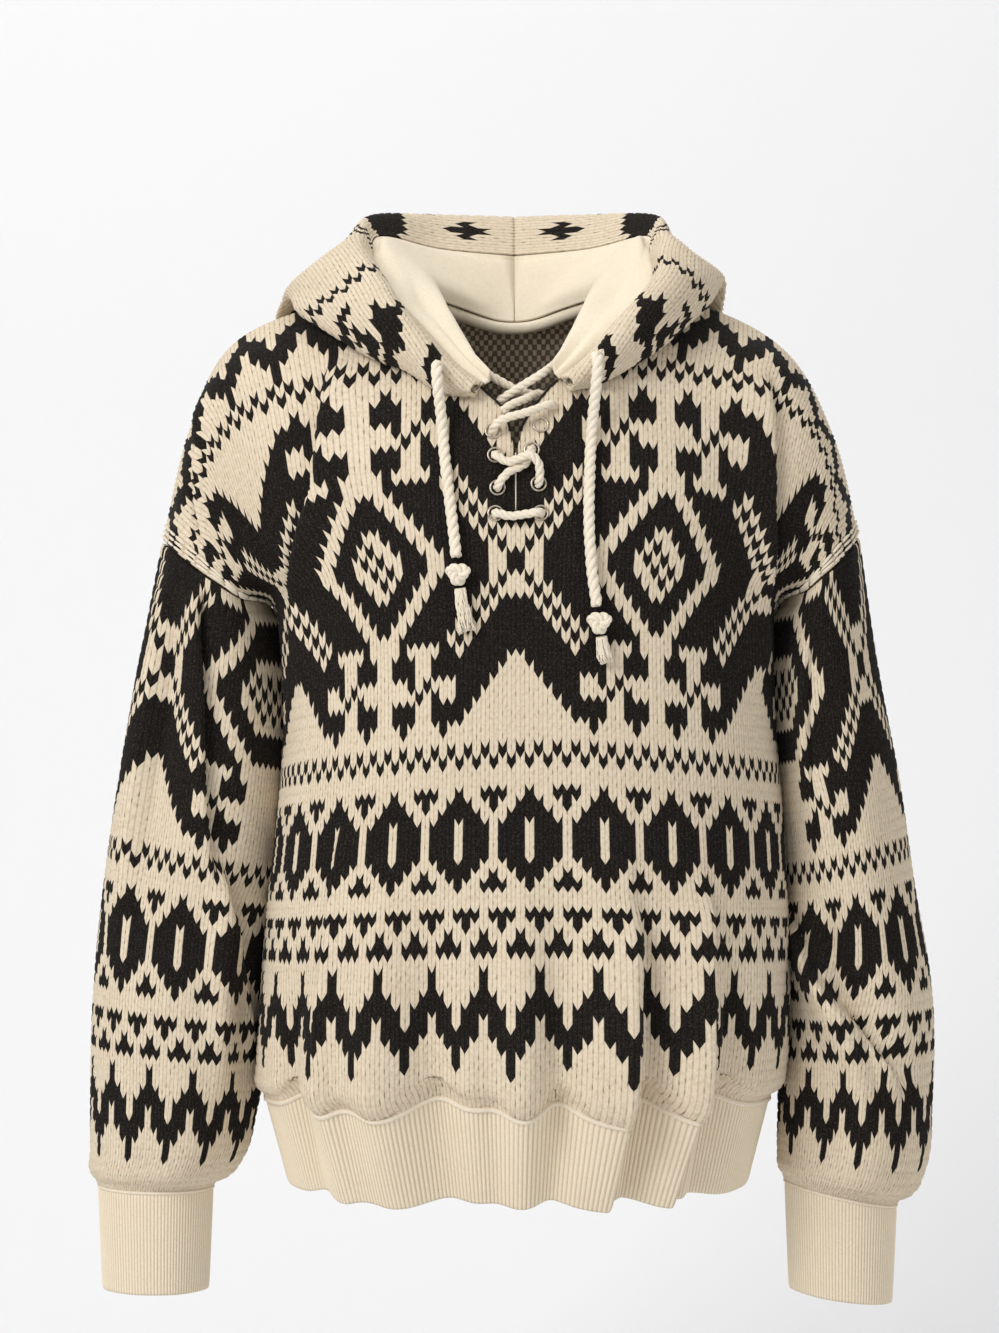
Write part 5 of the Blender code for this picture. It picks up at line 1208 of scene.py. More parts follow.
# ---------------------------------------------------------------- body
HALF_STITCHES = 48  # stitches in half a panel
SLIT_ROW = FRONT_EDGE_RIGHT[0][0]

# The cloth hangs low at the sides: knit row, and how many rows up it lies at the middle and at the sides.
ROW_HANG = (
    (0, 0.0, 0.0), (10, 0.0, 0.0), (16, 0.5, -0.2), (25, -0.4, -1.5), (33, -0.4, -2.1), (46, 0.0, -1.4),
    (56, 0.0, 0.0), (77, 0.0, 0.0),
)
HANG_MIDDLE = 0.12  # the place across where the rows lie highest


def hung_row(across, row):
    """The place up a panel where a knit row lies."""
    rows, middle, sides = zip(*ROW_HANG)
    share = np.abs(across - HANG_MIDDLE) ** 1.3
    high = np.interp(row, rows, middle)
    return row + high + (np.interp(row, rows, sides) - high) * share


def plain_blocks(count):
    """The grid columns of each stitch where they follow one another."""
    return [(k * len(LEG), (k + 1) * len(LEG)) for k in range(count)]


def along_rows(grid, up, step):
    """Values of an even grid at row places between its rows, column by column."""
    place = np.clip(up / step, 0, grid.shape[0] - 1.000001)
    low = place.astype(int)
    share = (place - low)[..., None]
    columns = np.broadcast_to(np.arange(grid.shape[1]), up.shape)
    return grid[low, columns] * (1 - share) + grid[low + 1, columns] * share


def even_grid(surface, places, rows, step):
    """A surface's points and unit normals at exact columns and evenly spaced rows."""
    ups = np.arange(int(round(rows / step)) + 1) * step
    grid_place, grid_up = np.meshgrid(places, ups)
    points = surface(grid_place.ravel(), grid_up.ravel()).reshape(*grid_up.shape, 3)
    return points, unit(np.cross(np.gradient(points, axis=1), np.gradient(points, axis=0)))


def knit_body(back):
    """One body panel as a knit shell."""
    across, up, height = stitch_grid(HALF_STITCHES * 2, ROWS_TO_SHOULDER)

    def surface(a, r):
        return body(a, r, back)

    points, normal = even_grid(surface, across[0] / HALF_STITCHES - 1, ROWS_TO_SHOULDER, 0.5)
    middle = HALF_STITCHES * len(LEG)
    blocks = plain_blocks(HALF_STITCHES * 2)
    if not back:  # the centre column is doubled, for the slit
        doubled = np.r_[0:middle + 1, middle:across.shape[1]]
        across, up, height, points, normal = (g[:, doubled] for g in (across, up, height, points, normal))
        blocks = [(a, b) if a < middle else (a + 1, b + 1) for a, b in blocks]
    spots = across[0]
    place = across / HALF_STITCHES - 1
    centre_place = (place[:-1, :-1] + place[:-1, 1:]) / 2
    centre_up = (up[:-1, :-1] + up[1:, 1:]) / 2
    ids = None
    if back:
        keep = centre_up < back_top_row(centre_place)
        up = np.minimum(up, back_top_row(place))
    else:
        side = np.where(np.arange(place.shape[1]) <= middle, -1, 1)
        edge = np.where(side < 0, edge_across(up, -1), edge_across(up, 1))
        centre_edge = np.where(side[:-1] < 0, edge_across(centre_up, -1), edge_across(centre_up, 1))
        keep = np.abs(centre_place) > np.where(centre_up > SLIT_ROW, centre_edge, 0)
        keep[:, middle] = False
        cut = (up > SLIT_ROW) & (np.abs(place) < edge)
        place = np.where(cut, side * edge, place)
        ids = np.arange(place.size).reshape(place.shape)
        joined = up[:, middle] <= SLIT_ROW
        ids[joined, middle + 1] = ids[joined, middle]
    lies = hung_row(place, up)
    cloth = along_rows(points, lies, 0.5)
    out = unit(along_rows(normal, lies, 0.5))
    sign = 1.0 if back else -1.0
    out *= -sign
    if not back:
        cloth[cut] = body(place[cut], up[cut], False)
    side_seam = (np.abs(place) > 0.999) & (lies < ROWS_TO_UNDERARM)
    cloth[..., 1] += sign * SEAM_GAP * 0.55 * side_seam
    outer, inner = yarn_faces(cloth, out, height)
    stitch, row = np.meshgrid(np.arange(HALF_STITCHES * 2) - HALF_STITCHES, np.arange(ROWS_TO_SHOULDER))
    cells = main_chart(stitch, row, 0.0, STAR_REPEAT)
    name = "back_panel_knit" if back else "front_panel_knit"
    return shell(name, outer, inner, keep, blocks, len(CLIMB), spots, back, ids, cells)


# ---------------------------------------------------------------- sleeves
SLEEVE_STITCHES = 72
# How far a sleeve's inner side is moved towards the body. It closes the gap between them, but it
# also takes a narrow strip of the sleeve through the panels' cloth at the side seam.
SLEEVE_PRESS = 0.0068
PRESS_MORE = 0.35  # how much further it goes just under the armhole
PRESS_REACH = 65.0  # degrees round the sleeve from its inner side
UNDER_REACH = 40.0
SLEEVE_STAR = 25.0  # the stitch a star is centred on, from the underarm by the front


def knit_sleeve(side):
    """One sleeve as a knit shell, closed round."""
    across, up, height = stitch_grid(SLEEVE_STITCHES, SLEEVE_ROWS, closed=True)
    angle = across[0] / SLEEVE_STITCHES * 360
    turn = np.abs(np.mod(angle + 180, 360) - 180)
    under = np.exp(-((turn / UNDER_REACH) ** 2))
    top = SLEEVE_ROWS - 0.23 * (1 - under)

    def surface(a, r):
        return sleeve(np.mod(a, 360), np.clip(r, 0, SLEEVE_ROWS), side)

    wide = np.r_[angle[-2:] - 360, angle, angle[:2] + 360]
    points, normal = even_grid(surface, wide, SLEEVE_ROWS, 0.5)
    points = points[:, 2:-2]
    normal = normal[:, 2:-2]
    cloth = along_rows(points, up * top / SLEEVE_ROWS, 0.5)
    out, flip = outwards(unit(along_rows(normal, up * top / SLEEVE_ROWS, 0.5)), cloth)
    clear = ramp(up, 50, 54.5) * 0.0024 + ramp(up, 54.5, SLEEVE_ROWS) * KNIT_WALL
    cloth[..., 0] += side * clear * under
    near_body = np.exp(-((turn / PRESS_REACH) ** 2)) * ramp(up, 2, 12) * (1 - ramp(up, 56, SLEEVE_ROWS))
    cloth[..., 0] -= side * SLEEVE_PRESS * (1 + PRESS_MORE * ramp(up, 47, 54)) * near_body
    outer, inner = yarn_faces(cloth, out, height)
    keep = np.ones((up.shape[0] - 1, up.shape[1]), bool)
    stitch, row = np.meshgrid(np.arange(SLEEVE_STITCHES), np.arange(SLEEVE_ROWS))
    cells = main_chart(stitch, row, SLEEVE_STAR, SLEEVE_STITCHES // 2)
    spots = np.arange(up.shape[1] + 1) / len(LEG)
    blocks = plain_blocks(SLEEVE_STITCHES)
    name = f"sleeve_{WORDS[side]}_knit"
    return shell(name, outer, inner, keep, blocks, len(CLIMB), spots, flip, cells=cells)


# ---------------------------------------------------------------- hood
HOOD_COURSES = 62  # knit rows from the hood's front end to its centre back
HOOD_PACE = ((0, 36, 62), (0.0, 0.72, 1.0))  # knit rows, and the ways round where they lie
HOOD_STITCH = 0.0060
HOOD_WIDEST = 80  # stitches across a half at the centre back


PROBE_WAY = 0.45  # where the hood's and the lining's outward sides are told apart
PROBE_HOOD = 0.66


def even_table(surface, side, count=121):
    """An even table of a hood surface's points and normals, by way round and place along."""
    ways, places = np.meshgrid(np.linspace(0, 1, count), np.linspace(0, 1, count), indexing="ij")
    points = surface(ways.ravel(), places.ravel(), side).reshape(count, count, 3)
    return points, unit(np.cross(np.gradient(points, axis=1), np.gradient(points, axis=0)))


def from_table(table, way, place):
    """Values of an even table at any way and place."""
    last = len(table) - 1
    i = np.clip(way * last, 0, last - 1e-6)
    j = np.clip(place * last, 0, last - 1e-6)
    i0 = i.astype(int)
    j0 = j.astype(int)
    s = (i - i0)[..., None]
    t = (j - j0)[..., None]
    low = table[i0, j0] * (1 - t) + table[i0, j0 + 1] * t
    high = table[i0 + 1, j0] * (1 - t) + table[i0 + 1, j0 + 1] * t
    return low * (1 - s) + high * s


def hood_place(points, across, way):
    """Place along the hood's section that many stitches in from the mouth edge, and the cloth left."""
    step = np.linalg.norm(np.diff(points[:, ::-1], axis=1), axis=2)
    length = np.concatenate([np.zeros((len(points), 1)), np.cumsum(step, axis=1)], axis=1)
    places = np.linspace(1, 0, points.shape[1])
    reach = across * HOOD_STITCH
    last = len(points) - 1
    low = np.clip((way * last).astype(int), 0, last - 1)
    share = way * last - low
    place = np.zeros_like(way)
    for k in range(last):
        here = low == k
        if here.any():
            a = np.interp(reach[here], length[k], places)
            b = np.interp(reach[here], length[k + 1], places)
            place[here] = a * (1 - share[here]) + b * share[here]
    whole = length[low, -1] * (1 - share) + length[low + 1, -1] * share
    return place, whole - reach


HOOD_FLOWERS = (
    (17, 11), (7, 19), (20, 24), (31, 8), (34, 19), (46, 9), (49, 22), (61, 14), (21, 37), (38, 42), (56, 37),
)


def hood_chart(stitch, row):
    """Dark stitches of the hood: stitches in from the mouth edge, rows round from its front end."""
    check = np.mod(stitch + row, 2) == 0
    dark = np.zeros(stitch.shape, bool)
    for centre, course in HOOD_FLOWERS:
        beside = np.abs(stitch - centre)
        above = np.abs(row - course)
        dark |= (beside >= 1) & (beside <= 3) & (above >= 1) & (above <= 3) & (beside + above <= 5)
        dark |= (beside <= 1) & (above <= 1) & check
        dark |= (beside == 2) & (above == 4)
    band = np.mod(row + 0.7 * stitch, 10.0) < 3.4
    dark |= band & (np.mod(3 * stitch + 5 * row, 17) < 12) & (row >= 3) & (row <= 26) & (stitch >= 2)
    dark |= zigzag(stitch, row, 30)
    beside = np.abs(row - 49.5)
    dark |= (beside < 3) & (np.abs(stitch - 3) + beside <= 4.5)
    dark |= (row >= 40) & (row <= 43) & (stitch < 5) & check
    dark |= (np.abs(row - 58) + np.abs(stitch - 3) <= 1) | (row == 55) & (stitch == 6)
    half = np.abs(stitch - 12)
    reach = np.round((HOOD_COURSES - row) * 1.7)  # the courses lie wide at the back
    back = (row >= 46) & (stitch > 7)
    dark |= back & (np.maximum(half, reach) <= 13) & (np.abs(half - reach) <= 3) & (half > 1)
    dark |= back & (half + reach <= 4)
    for centre, size in ((34, 8), (52, 9)):
        away = np.abs(stitch - centre) + reach
        dark |= back & ((away <= size) & (away >= size - 4) | (away <= 1))
    return dark.astype(int)


def knit_hood(side):
    """One half of the hood's outer cloth. Its wales run along the mouth edge."""
    across, up, height = stitch_grid(HOOD_WIDEST, HOOD_COURSES)
    way = np.interp(up, *HOOD_PACE)
    points, normal = even_table(hood, side)
    place, spare = hood_place(points, across, way)
    keep = (spare[:-1, :-1] + spare[1:, :-1] + spare[1:, 1:] + spare[:-1, 1:]) > 0
    cloth = from_table(points, way, place)
    out = unit(from_table(normal, way, place))
    inside = lining(np.array([PROBE_WAY]), np.array([0.7]), side)[0]
    off = np.abs(way - PROBE_WAY) + np.abs(place - PROBE_HOOD)
    probe = np.unravel_index(int(np.argmin(off)), way.shape)
    if out[probe] @ (cloth[probe] - inside) < 0:
        out = -out
    cloth[..., 0] = np.where(way > 0.9999, side * SEAM_GAP * 0.55, cloth[..., 0])
    outer, inner = yarn_faces(cloth, out, height)
    i, j = probe
    face = np.cross(outer[i, j + 1] - outer[i, j - 1], outer[i + 1, j] - outer[i - 1, j])
    flip = float(face @ out[i, j]) < 0
    stitch, row = np.meshgrid(np.arange(HOOD_WIDEST), np.arange(HOOD_COURSES))
    cells = hood_chart(stitch, row)
    spots = np.arange(up.shape[1]) / len(LEG)
    blocks = plain_blocks(HOOD_WIDEST)
    name = f"hood_{WORDS[side]}_knit"
    return shell(name, outer, inner, keep, blocks, len(CLIMB), spots, flip, cells=cells)


# ---------------------------------------------------------------- ribs and lining
BAND_LEVELS = (0.0, 0.03, 0.08, 0.16, 0.25, 0.35, 0.45, 0.55, 0.65, 0.75, 0.84, 0.92, 0.97, 1.0)
HEM_RIBS = 352
CUFF_RIBS = 104
RIB_POINTS = 4  # points of a band's rings to a rib
RIB_PROFILE = (0.0, 0.75, 1.0, 0.75)  # how proud they stand
RIB_RELIEF = 0.0009
CUFF_RIB_SHARE = 0.8  # a cuff's ribs against the hem's
RIB_EDGE = 0.35  # how proud the ribs stand at a band's edges
RIB_RISE = 14.0  # how fast they come up to full height from there
# The hem ring's own points: so many to each half of the front, these places across the back.
FRONT_COLUMNS = 14
BACK_COLUMNS = (0.0, 0.05, 0.1, 0.15, 0.2, 0.28, 0.37, 0.46, 0.55, 0.64, 0.73, 0.82, 0.91, 1.0)


LINING_COUNT = 81  # points of the lining each way
LINING_PROBE = (36, 48)  # the one that its outward side is told from


def rib_band(name, top, foot, relief):
    """A ribbed band between two fine closed rings, one ridge each RIB_POINTS points."""
    levels = np.array(BAND_LEVELS)
    points = np.array([top * (1 - t) + foot * t for t in BAND_LEVELS])
    count = points.shape[1]
    across = np.roll(points, -1, axis=1) - np.roll(points, 1, axis=1)
    normal, flip = outwards(unit(np.cross(across, np.gradient(points, axis=0))), points)
    ridge = np.array(RIB_PROFILE)[np.arange(count) % RIB_POINTS]
    full = np.clip(np.minimum(levels, 1 - levels) * RIB_RISE + RIB_EDGE, 0, 1)
    proud = relief * ridge[None, :] * full[:, None]
    outer = points + normal * (RIB_WALL / 2 - relief + proud)[..., None]
    inner = points - normal * (RIB_WALL / 2)
    keep = np.ones((len(levels) - 1, count), bool)
    blocks = [(j, j + RIB_POINTS) for j in range(0, count, RIB_POINTS)]
    return shell(name, outer, inner, keep, blocks, 1, np.arange(count + 1) / RIB_POINTS, flip)


def hem_ring(spots):
    """Points of the body's foot at places round it: 0 at the wearer's right side, by the front."""
    back = sorted(-b for b in BACK_COLUMNS[1:]) + list(BACK_COLUMNS)
    front_count = 2 * FRONT_COLUMNS
    total = front_count + len(back) - 1
    spots = np.mod(spots, total)
    on_back = spots > front_count
    across = np.where(
        on_back,
        np.interp(spots - front_count, np.arange(len(back)), back[::-1]),
        spots / FRONT_COLUMNS - 1,
    )
    zero = np.zeros_like(across)
    front_points = body(across, zero, False)
    back_points = body(across, zero, True)
    return np.where(on_back[:, None], back_points, front_points), total


def hem_rings(count):
    """The hem band's top and foot rings."""
    _, total = hem_ring(np.zeros(1))
    fine = np.arange(count) / count * total
    top, _ = hem_ring(fine)
    coarse, _ = hem_ring(np.arange(total, dtype=float))
    calm = spread(np.arange(0, total, HEM_CALM), fine, loop=total) @ coarse[::HEM_CALM]
    top = top - (0, 0, SEAM_GAP * 2)
    calm = calm - (0, 0, SEAM_GAP * 2)
    out = unit(top * (1, 1, 0))
    foot = (top + calm) / 2 - out * HEM_BAND_PULL
    side_share = np.abs(top[:, 0]) / np.abs(top[:, 0]).max()
    foot[:, 2] -= HEM_BAND_HEIGHT - HEM_SIDE_LIFT * side_share**4
    return top, foot


def cuff_rings(side, count):
    """A cuff's top and foot rings."""
    angle = np.arange(count) / count * 360
    top = sleeve(angle, np.zeros(count), side) - (0, 0, SEAM_GAP)
    centre = top.mean(axis=0)
    out = unit((top - centre) * (1, 1, 0))
    foot = top - out * CUFF_PULL
    foot[:, 2] = centre[2] + (top[:, 2] - centre[2]) * CUFF_FOOT_SLANT - CUFF_HEIGHT
    return top, foot


def fleece_lining(side):
    """One half of the hood's lining."""
    points, normal = even_table(lining, side, LINING_COUNT)
    outside = hood(np.array([PROBE_WAY]), np.array([PROBE_HOOD]), side)[0]
    i, j = LINING_PROBE
    if normal[i, j] @ (points[i, j] - outside) < 0:
        normal = -normal
    points[-1, :, 0] = side * SEAM_GAP * 0.55
    outer = points + normal * FLEECE_WALL / 2
    inner = points - normal * FLEECE_WALL / 2
    face = np.cross(outer[i, j + 1] - outer[i, j], outer[i + 1, j] - outer[i, j])
    flip = float(face @ normal[i, j]) < 0
    columns = outer.shape[1] - 1
    keep = np.ones((len(outer) - 1, columns), bool)
    blocks = [(j, j + 1) for j in range(columns)]
    name = f"hood_lining_{WORDS[side]}_fleece"
    return shell(name, outer, inner, keep, blocks, 1, np.arange(columns + 1.0), flip)


# ---------------------------------------------------------------- ropes, knots, frays and rings
ROPE_PITCH = 2.6  # of the rope's diameter, for a whole turn of its strands
STRAND_OFFSET = 0.235  # of the diameter
STRAND_RADIUS = 0.275
STRAND_SIDES = 7


def line_frames(centres):
    """Unit directions along a line and two across it that don't twist."""
    tangent = unit(np.gradient(centres, axis=0))
    first = np.cross(tangent[0], (0.0, 1.0, 0.0))
    if np.linalg.norm(first) < 0.2:
        first = np.cross(tangent[0], (1.0, 0.0, 0.0))
    sides = []
    for forward in tangent:
        first = unit(first - forward * (first @ forward))
        sides.append(first)
    sides = np.array(sides)
    return tangent, sides, np.cross(tangent, sides)


def tube_grid(centres, radii, sides):
    """Rings of points along a line."""
    _, one, two = line_frames(centres)
    turn = np.arange(sides) / sides * 2 * math.pi
    ring = one[:, None] * np.cos(turn)[None, :, None] + two[:, None] * np.sin(turn)[None, :, None]
    return centres[:, None] + ring * np.asarray(radii)[:, None, None]


def tubes(name, grids, material, node_name=None):
    """Closed tubes joined in one mesh, each a grid of rings, with a flat map in strips."""
    points = []
    faces = []
    flat_uv = []
    count = 0
    across = max(int(math.ceil(math.sqrt(len(grids)))), 1)
    for number, grid in enumerate(grids):
        rows, sides = grid.shape[:2]
        points.append(grid.reshape(-1, 3))
        left = (number % across) / across
        foot = (number // across) / across
        scale = 0.96 / across

        def at(i, j):
            return [left + scale * (0.02 + 0.96 * j / sides), foot + scale * (0.02 + 0.96 * i / (rows - 1))]

        for i in range(rows - 1):
            for j in range(sides):
                k = (j + 1) % sides
                faces.append([count + i * sides + j, count + i * sides + k,
                              count + (i + 1) * sides + k, count + (i + 1) * sides + j])
                flat_uv += at(i, j) + at(i, j + 1) + at(i + 1, j + 1) + at(i + 1, j)
        faces.append([count + j for j in reversed(range(sides))])
        faces.append([count + (rows - 1) * sides + j for j in range(sides)])
        for i in (0, rows - 1):
            for j in range(sides):
                flat_uv += at(i, j)
        count += rows * sides
    points = np.concatenate(points)
    item = new_piece(name, points, faces, flat_uv)
    return dressed(item, node_name, material)


def yarn_line(name, points, radius, sides, material):
    """A plain round yarn along a line."""
    points = np.asarray(points)
    return tubes(name, [tube_grid(points, [radius] * len(points), sides)], material)


def rope_grids(centres, diameter):
    """Three twisted strands round a line."""
    _, one, two = line_frames(centres)
    grids = []
    for k in range(3):
        turn = 2 * math.pi * (lengths(centres) / (ROPE_PITCH * diameter) + k / 3)
        away = one * np.cos(turn)[:, None] + two * np.sin(turn)[:, None]
        line = centres + away * (STRAND_OFFSET * diameter)
        grids.append(tube_grid(line, np.full(len(line), STRAND_RADIUS * diameter), STRAND_SIDES))
    return grids


def eyelet_ring(name, across, row):
    """A turned metal ring: a rolled flange on each face and a barrel."""
    point, out, sideways, upward = frame_at(across, row)
    inner = KNIT_WALL / 2 + 0.0004
    thick = EYELET_METAL
    profile = [(EYELET_BORE, 0.0)]
    for k in range(7):
        turn = math.pi * k / 6
        profile.append((
            (EYELET_BORE + EYELET_FLANGE) / 2 - (EYELET_FLANGE - EYELET_BORE) / 2 * math.cos(turn),
            inner + thick * 1.3 * math.sin(turn),
        ))
    profile.append((EYELET_BARREL, 0.0))
    profile += [(r, -z) for r, z in profile[-2:0:-1]]
    sides = EYELET_SIDES
    points = []
    for k in range(sides):
        turn = 2 * math.pi * k / sides
        spoke = sideways * math.cos(turn) + upward * math.sin(turn)
        points += [point + spoke * r + out * z for r, z in profile]
    count = len(profile)
    faces = []
    flat_uv = []
    for k in range(sides):
        after = (k + 1) % sides
        for j in range(count):
            n = (j + 1) % count
            faces.append([k * count + j, k * count + n, after * count + n, after * count + j])
            for a, b in ((k, j), (k, j + 1), (k + 1, j + 1), (k + 1, j)):
                flat_uv += [0.02 + 0.96 * a / sides, 0.02 + 0.96 * b / count]
    item = new_piece(name + "_ring", np.array(points), faces, flat_uv)
    return dressed(item, name, METAL)


# ---------------------------------------------------------------- camera, light and stage
CAMERA_PLACE = (-0.0107, -2.5, -0.2529)
CAMERA_LENS = 97.85
LIGHTS = (  # name, place, aim, size, power
    ("key", (-1.7, -2.0, 1.2), (0, 0, -0.3), 1.3, 50.0),
    ("fill", (1.8, -2.0, 0.3), (0, 0, -0.3), 2.0, 8.0),
    ("top", (0.0, 0.2, 1.9), (0, 0, 0), 1.8, 14.0),
)
ROOM_LIGHT = 0.50  # what the surroundings give the cloth
ROOM_SEEN = 0.45  # and how much brighter they look
FLOOR_HEIGHT = -0.86
SWEEP_RADIUS = 0.9
SWEEP_START = 0.6  # where the floor begins to curve up
SWEEP_SPAN = 3.0  # half its width
SWEEP_COLOUR = (0.905, 0.905, 0.912, 1.0)


def studio():
    """Soft light, a pale sweep behind and below, and the camera."""
    scene = bpy.context.scene
    camera_data = bpy.data.cameras.new("camera")
    camera_data.sensor_fit = "VERTICAL"
    camera_data.sensor_height = 36.0
    camera_data.lens = CAMERA_LENS
    camera = bpy.data.objects.new("camera", camera_data)
    camera.location = CAMERA_PLACE
    camera.rotation_euler = (math.pi / 2, 0, 0)
    scene.collection.objects.link(camera)
    scene.camera = camera
    scene.view_settings.view_transform = "Standard"
    for name, place, aim, size, power in LIGHTS:
        data = bpy.data.lights.new(name, "AREA")
        data.size = size
        data.energy = power
        light = bpy.data.objects.new(name, data)
        light.location = place
        direction = np.array(aim) - np.array(place)
        light.rotation_euler = (
            math.atan2(math.hypot(direction[0], direction[1]), -direction[2]),
            0,
            math.atan2(direction[1], direction[0]) - math.pi / 2,
        )
        scene.collection.objects.link(light)
    world = bpy.data.worlds.new("world")
    world.use_nodes = True
    background = next(n for n in world.node_tree.nodes if n.type == "BACKGROUND")
    background.inputs[0].default_value = (1.0, 1.0, 1.0, 1.0)
    rays = node(world.node_tree, "ShaderNodeLightPath")
    shown = maths(world.node_tree, "ADD", rays.outputs["Is Camera Ray"], rays.outputs["Is Glossy Ray"])
    shown = maths(world.node_tree, "ADD", shown, rays.outputs["Is Transmission Ray"])
    shown = maths(world.node_tree, "MINIMUM", shown, 1.0)
    strength = maths(world.node_tree, "MULTIPLY_ADD", shown, ROOM_SEEN, ROOM_LIGHT)
    world.node_tree.links.new(strength, background.inputs[1])
    scene.world = world
    # a sweep: floor, curve, wall
    profile = [(-3.2, FLOOR_HEIGHT), (SWEEP_START, FLOOR_HEIGHT)]
    for k in range(1, 13):
        turn = math.pi / 2 * k / 12
        profile.append((
            SWEEP_START + SWEEP_RADIUS * math.sin(turn),
            FLOOR_HEIGHT + SWEEP_RADIUS * (1 - math.cos(turn)),
        ))
    profile.append((SWEEP_START + SWEEP_RADIUS, 2.6))
    points = [(x, y, z) for x in (-SWEEP_SPAN, SWEEP_SPAN) for y, z in profile]
    count = len(profile)
    faces = [(k, k + count, k + 1 + count, k + 1) for k in range(count - 1)]
    mesh = bpy.data.meshes.new("sweep")
    mesh.from_pydata(points, [], faces)
    mesh.polygons.foreach_set("use_smooth", [True] * len(faces))
    sweep = bpy.data.objects.new("sweep", mesh)
    scene.collection.objects.link(sweep)
    material, tree, shader = fresh("pale sweep")
    shader.inputs["Base Color"].default_value = SWEEP_COLOUR
    shader.inputs["Roughness"].default_value = 0.9
    # the sweep can be looked through from behind
    behind = node(tree, "ShaderNodeNewGeometry").outputs["Backfacing"]
    seen = node(tree, "ShaderNodeLightPath").outputs["Is Camera Ray"]
    clear = node(tree, "ShaderNodeBsdfTransparent")
    both = node(tree, "ShaderNodeMixShader", {0: maths(tree, "MULTIPLY", behind, seen)})
    tree.links.new(shader.outputs[0], both.inputs[1])
    tree.links.new(clear.outputs[0], both.inputs[2])
    tree.links.new(both.outputs[0], next(n for n in tree.nodes if n.type == "OUTPUT_MATERIAL").inputs[0])
    mesh.materials.append(material)


# ---------------------------------------------------------------- the garment
HEM_LIP = (0.0008, 0.0019)  # a seam lip's drop below the knit's foot and its radius
HEM_LIP_POINTS = 640
CUFF_LIP = (0.0004, 0.0011)
COVER_LINES = (0.008, 0.0175, 0.027)  # cover-stitching: shares of a half panel in from the armhole
COVER_LIFT = 0.0006
COVER_STITCH = (0.012, 0.0010, 0.0011)  # its stitches' length, gap and radius
TAPE_DEPTH = 0.0062  # the back neck's tape: how far inside the cloth it lies, how high, how thick
TAPE_LIFT = 0.0040
TAPE_RADIUS = 0.0042
# the dark line on the neck edge is painted shadow: a charcoal yarn where the curled edge casts shade
EDGE_ROWS = (61.0, 65.4)  # the knit rows that the dark line on the neck edge runs between
EDGE_LIFT = 0.0003
EDGE_RADIUS = 0.0009
THREAD_LIFT = 0.0006  # the thread on the slit
THREAD_RADIUS = 0.0005
LACE_STEP = 0.0013  # between points along the lace and the neck cords
DRAWSTRING_STEP = 0.0015
FRAY_STEP = 0.0024
FRAY_YARNS = 70
FRAY_YARN_RADIUS = 0.00055
KNOT_TUCK = (0.0030, 0.0044, 0.0030)  # from the knot's radii to its rope's middle


def ring_lip(name, ring, drop, radius, sides=6):
    """A rolled edge of plain yarn round the foot of a tube of cloth."""
    out = unit((ring - ring.mean(axis=0)) * (1, 1, 0))
    points = ring + out * (KNIT_WALL / 2 - radius * 0.2)
    points[:, 2] -= drop
    points = np.concatenate([points, points[:1]])
    return yarn_line(name, points, radius, sides, SEAM_YARN)


def armhole_line(side, away, lift):
    """A line on the body's side of an armhole seam, that share of a half panel from it."""
    angle = np.arange(0, 360, 1.5)
    row, back = armhole_row(angle)
    across = np.full_like(row, side * (1 - away))
    points = np.zeros((len(angle), 3))
    for behind in (False, True):
        def surface(a, r):
            return body(a, r, behind)
        here = back == behind
        normal = normals(surface, across[here], row[here], 1.0, 1.0) * (-1.0 if behind else 1.0)
        points[here] = surface(across[here], row[here]) + normal * (KNIT_WALL / 2 + lift)
    return points


def dashes(lines, length, gap, radius):
    """Short raised stitches along lines of points."""
    grids = []
    for line in lines:
        along = lengths(line)
        start = 0.0
        while start + length < along[-1]:
            wanted = start + length * np.array((0.0, 0.15, 0.5, 0.85, 1.0))
            centres = np.stack([np.interp(wanted, along, line[:, k]) for k in range(3)], axis=1)
            grids.append(tube_grid(centres, radius * np.array((0.3, 0.85, 1.0, 0.85, 0.3)), 5))
            start += length + gap
    return grids


def garment():
    """Every piece, in the order a maker would sew them."""
    pieces = {}
    pieces["front"] = dressed(knit_body(False), "front_panel", KNIT)
    pieces["back"] = dressed(knit_body(True), "back_panel", KNIT)
    for side, word in WORDS.items():
        pieces["sleeve_" + word] = dressed(knit_sleeve(side), "sleeve_" + word, KNIT)
        top, foot = cuff_rings(side, CUFF_RIBS * RIB_POINTS)
        cuff = rib_band(f"cuff_{word}_rib", top, foot, RIB_RELIEF * CUFF_RIB_SHARE)
        pieces["cuff_" + word] = dressed(cuff, "cuff_" + word, RIB)
        pieces["hood_" + word] = dressed(knit_hood(side), "hood_" + word, KNIT)
        lining_piece = fleece_lining(side)
        pieces["lining_" + word] = dressed(lining_piece, "hood_lining_" + word, FLEECE_LOOK)
    top, foot = hem_rings(HEM_RIBS * RIB_POINTS)
    _, total = hem_ring(np.zeros(1))
    hem = rib_band("hem_band_rib", top, foot, RIB_RELIEF)
    pieces["hem"] = dressed(hem, "hem_band", RIB)
    for name, (across, row) in EYELETS.items():
        eyelet_ring(name, across, row)
    foot, _ = hem_ring(np.arange(HEM_LIP_POINTS) / HEM_LIP_POINTS * total)
    ring_lip("hem_seam_lip", foot, *HEM_LIP)
    trims()
    return pieces


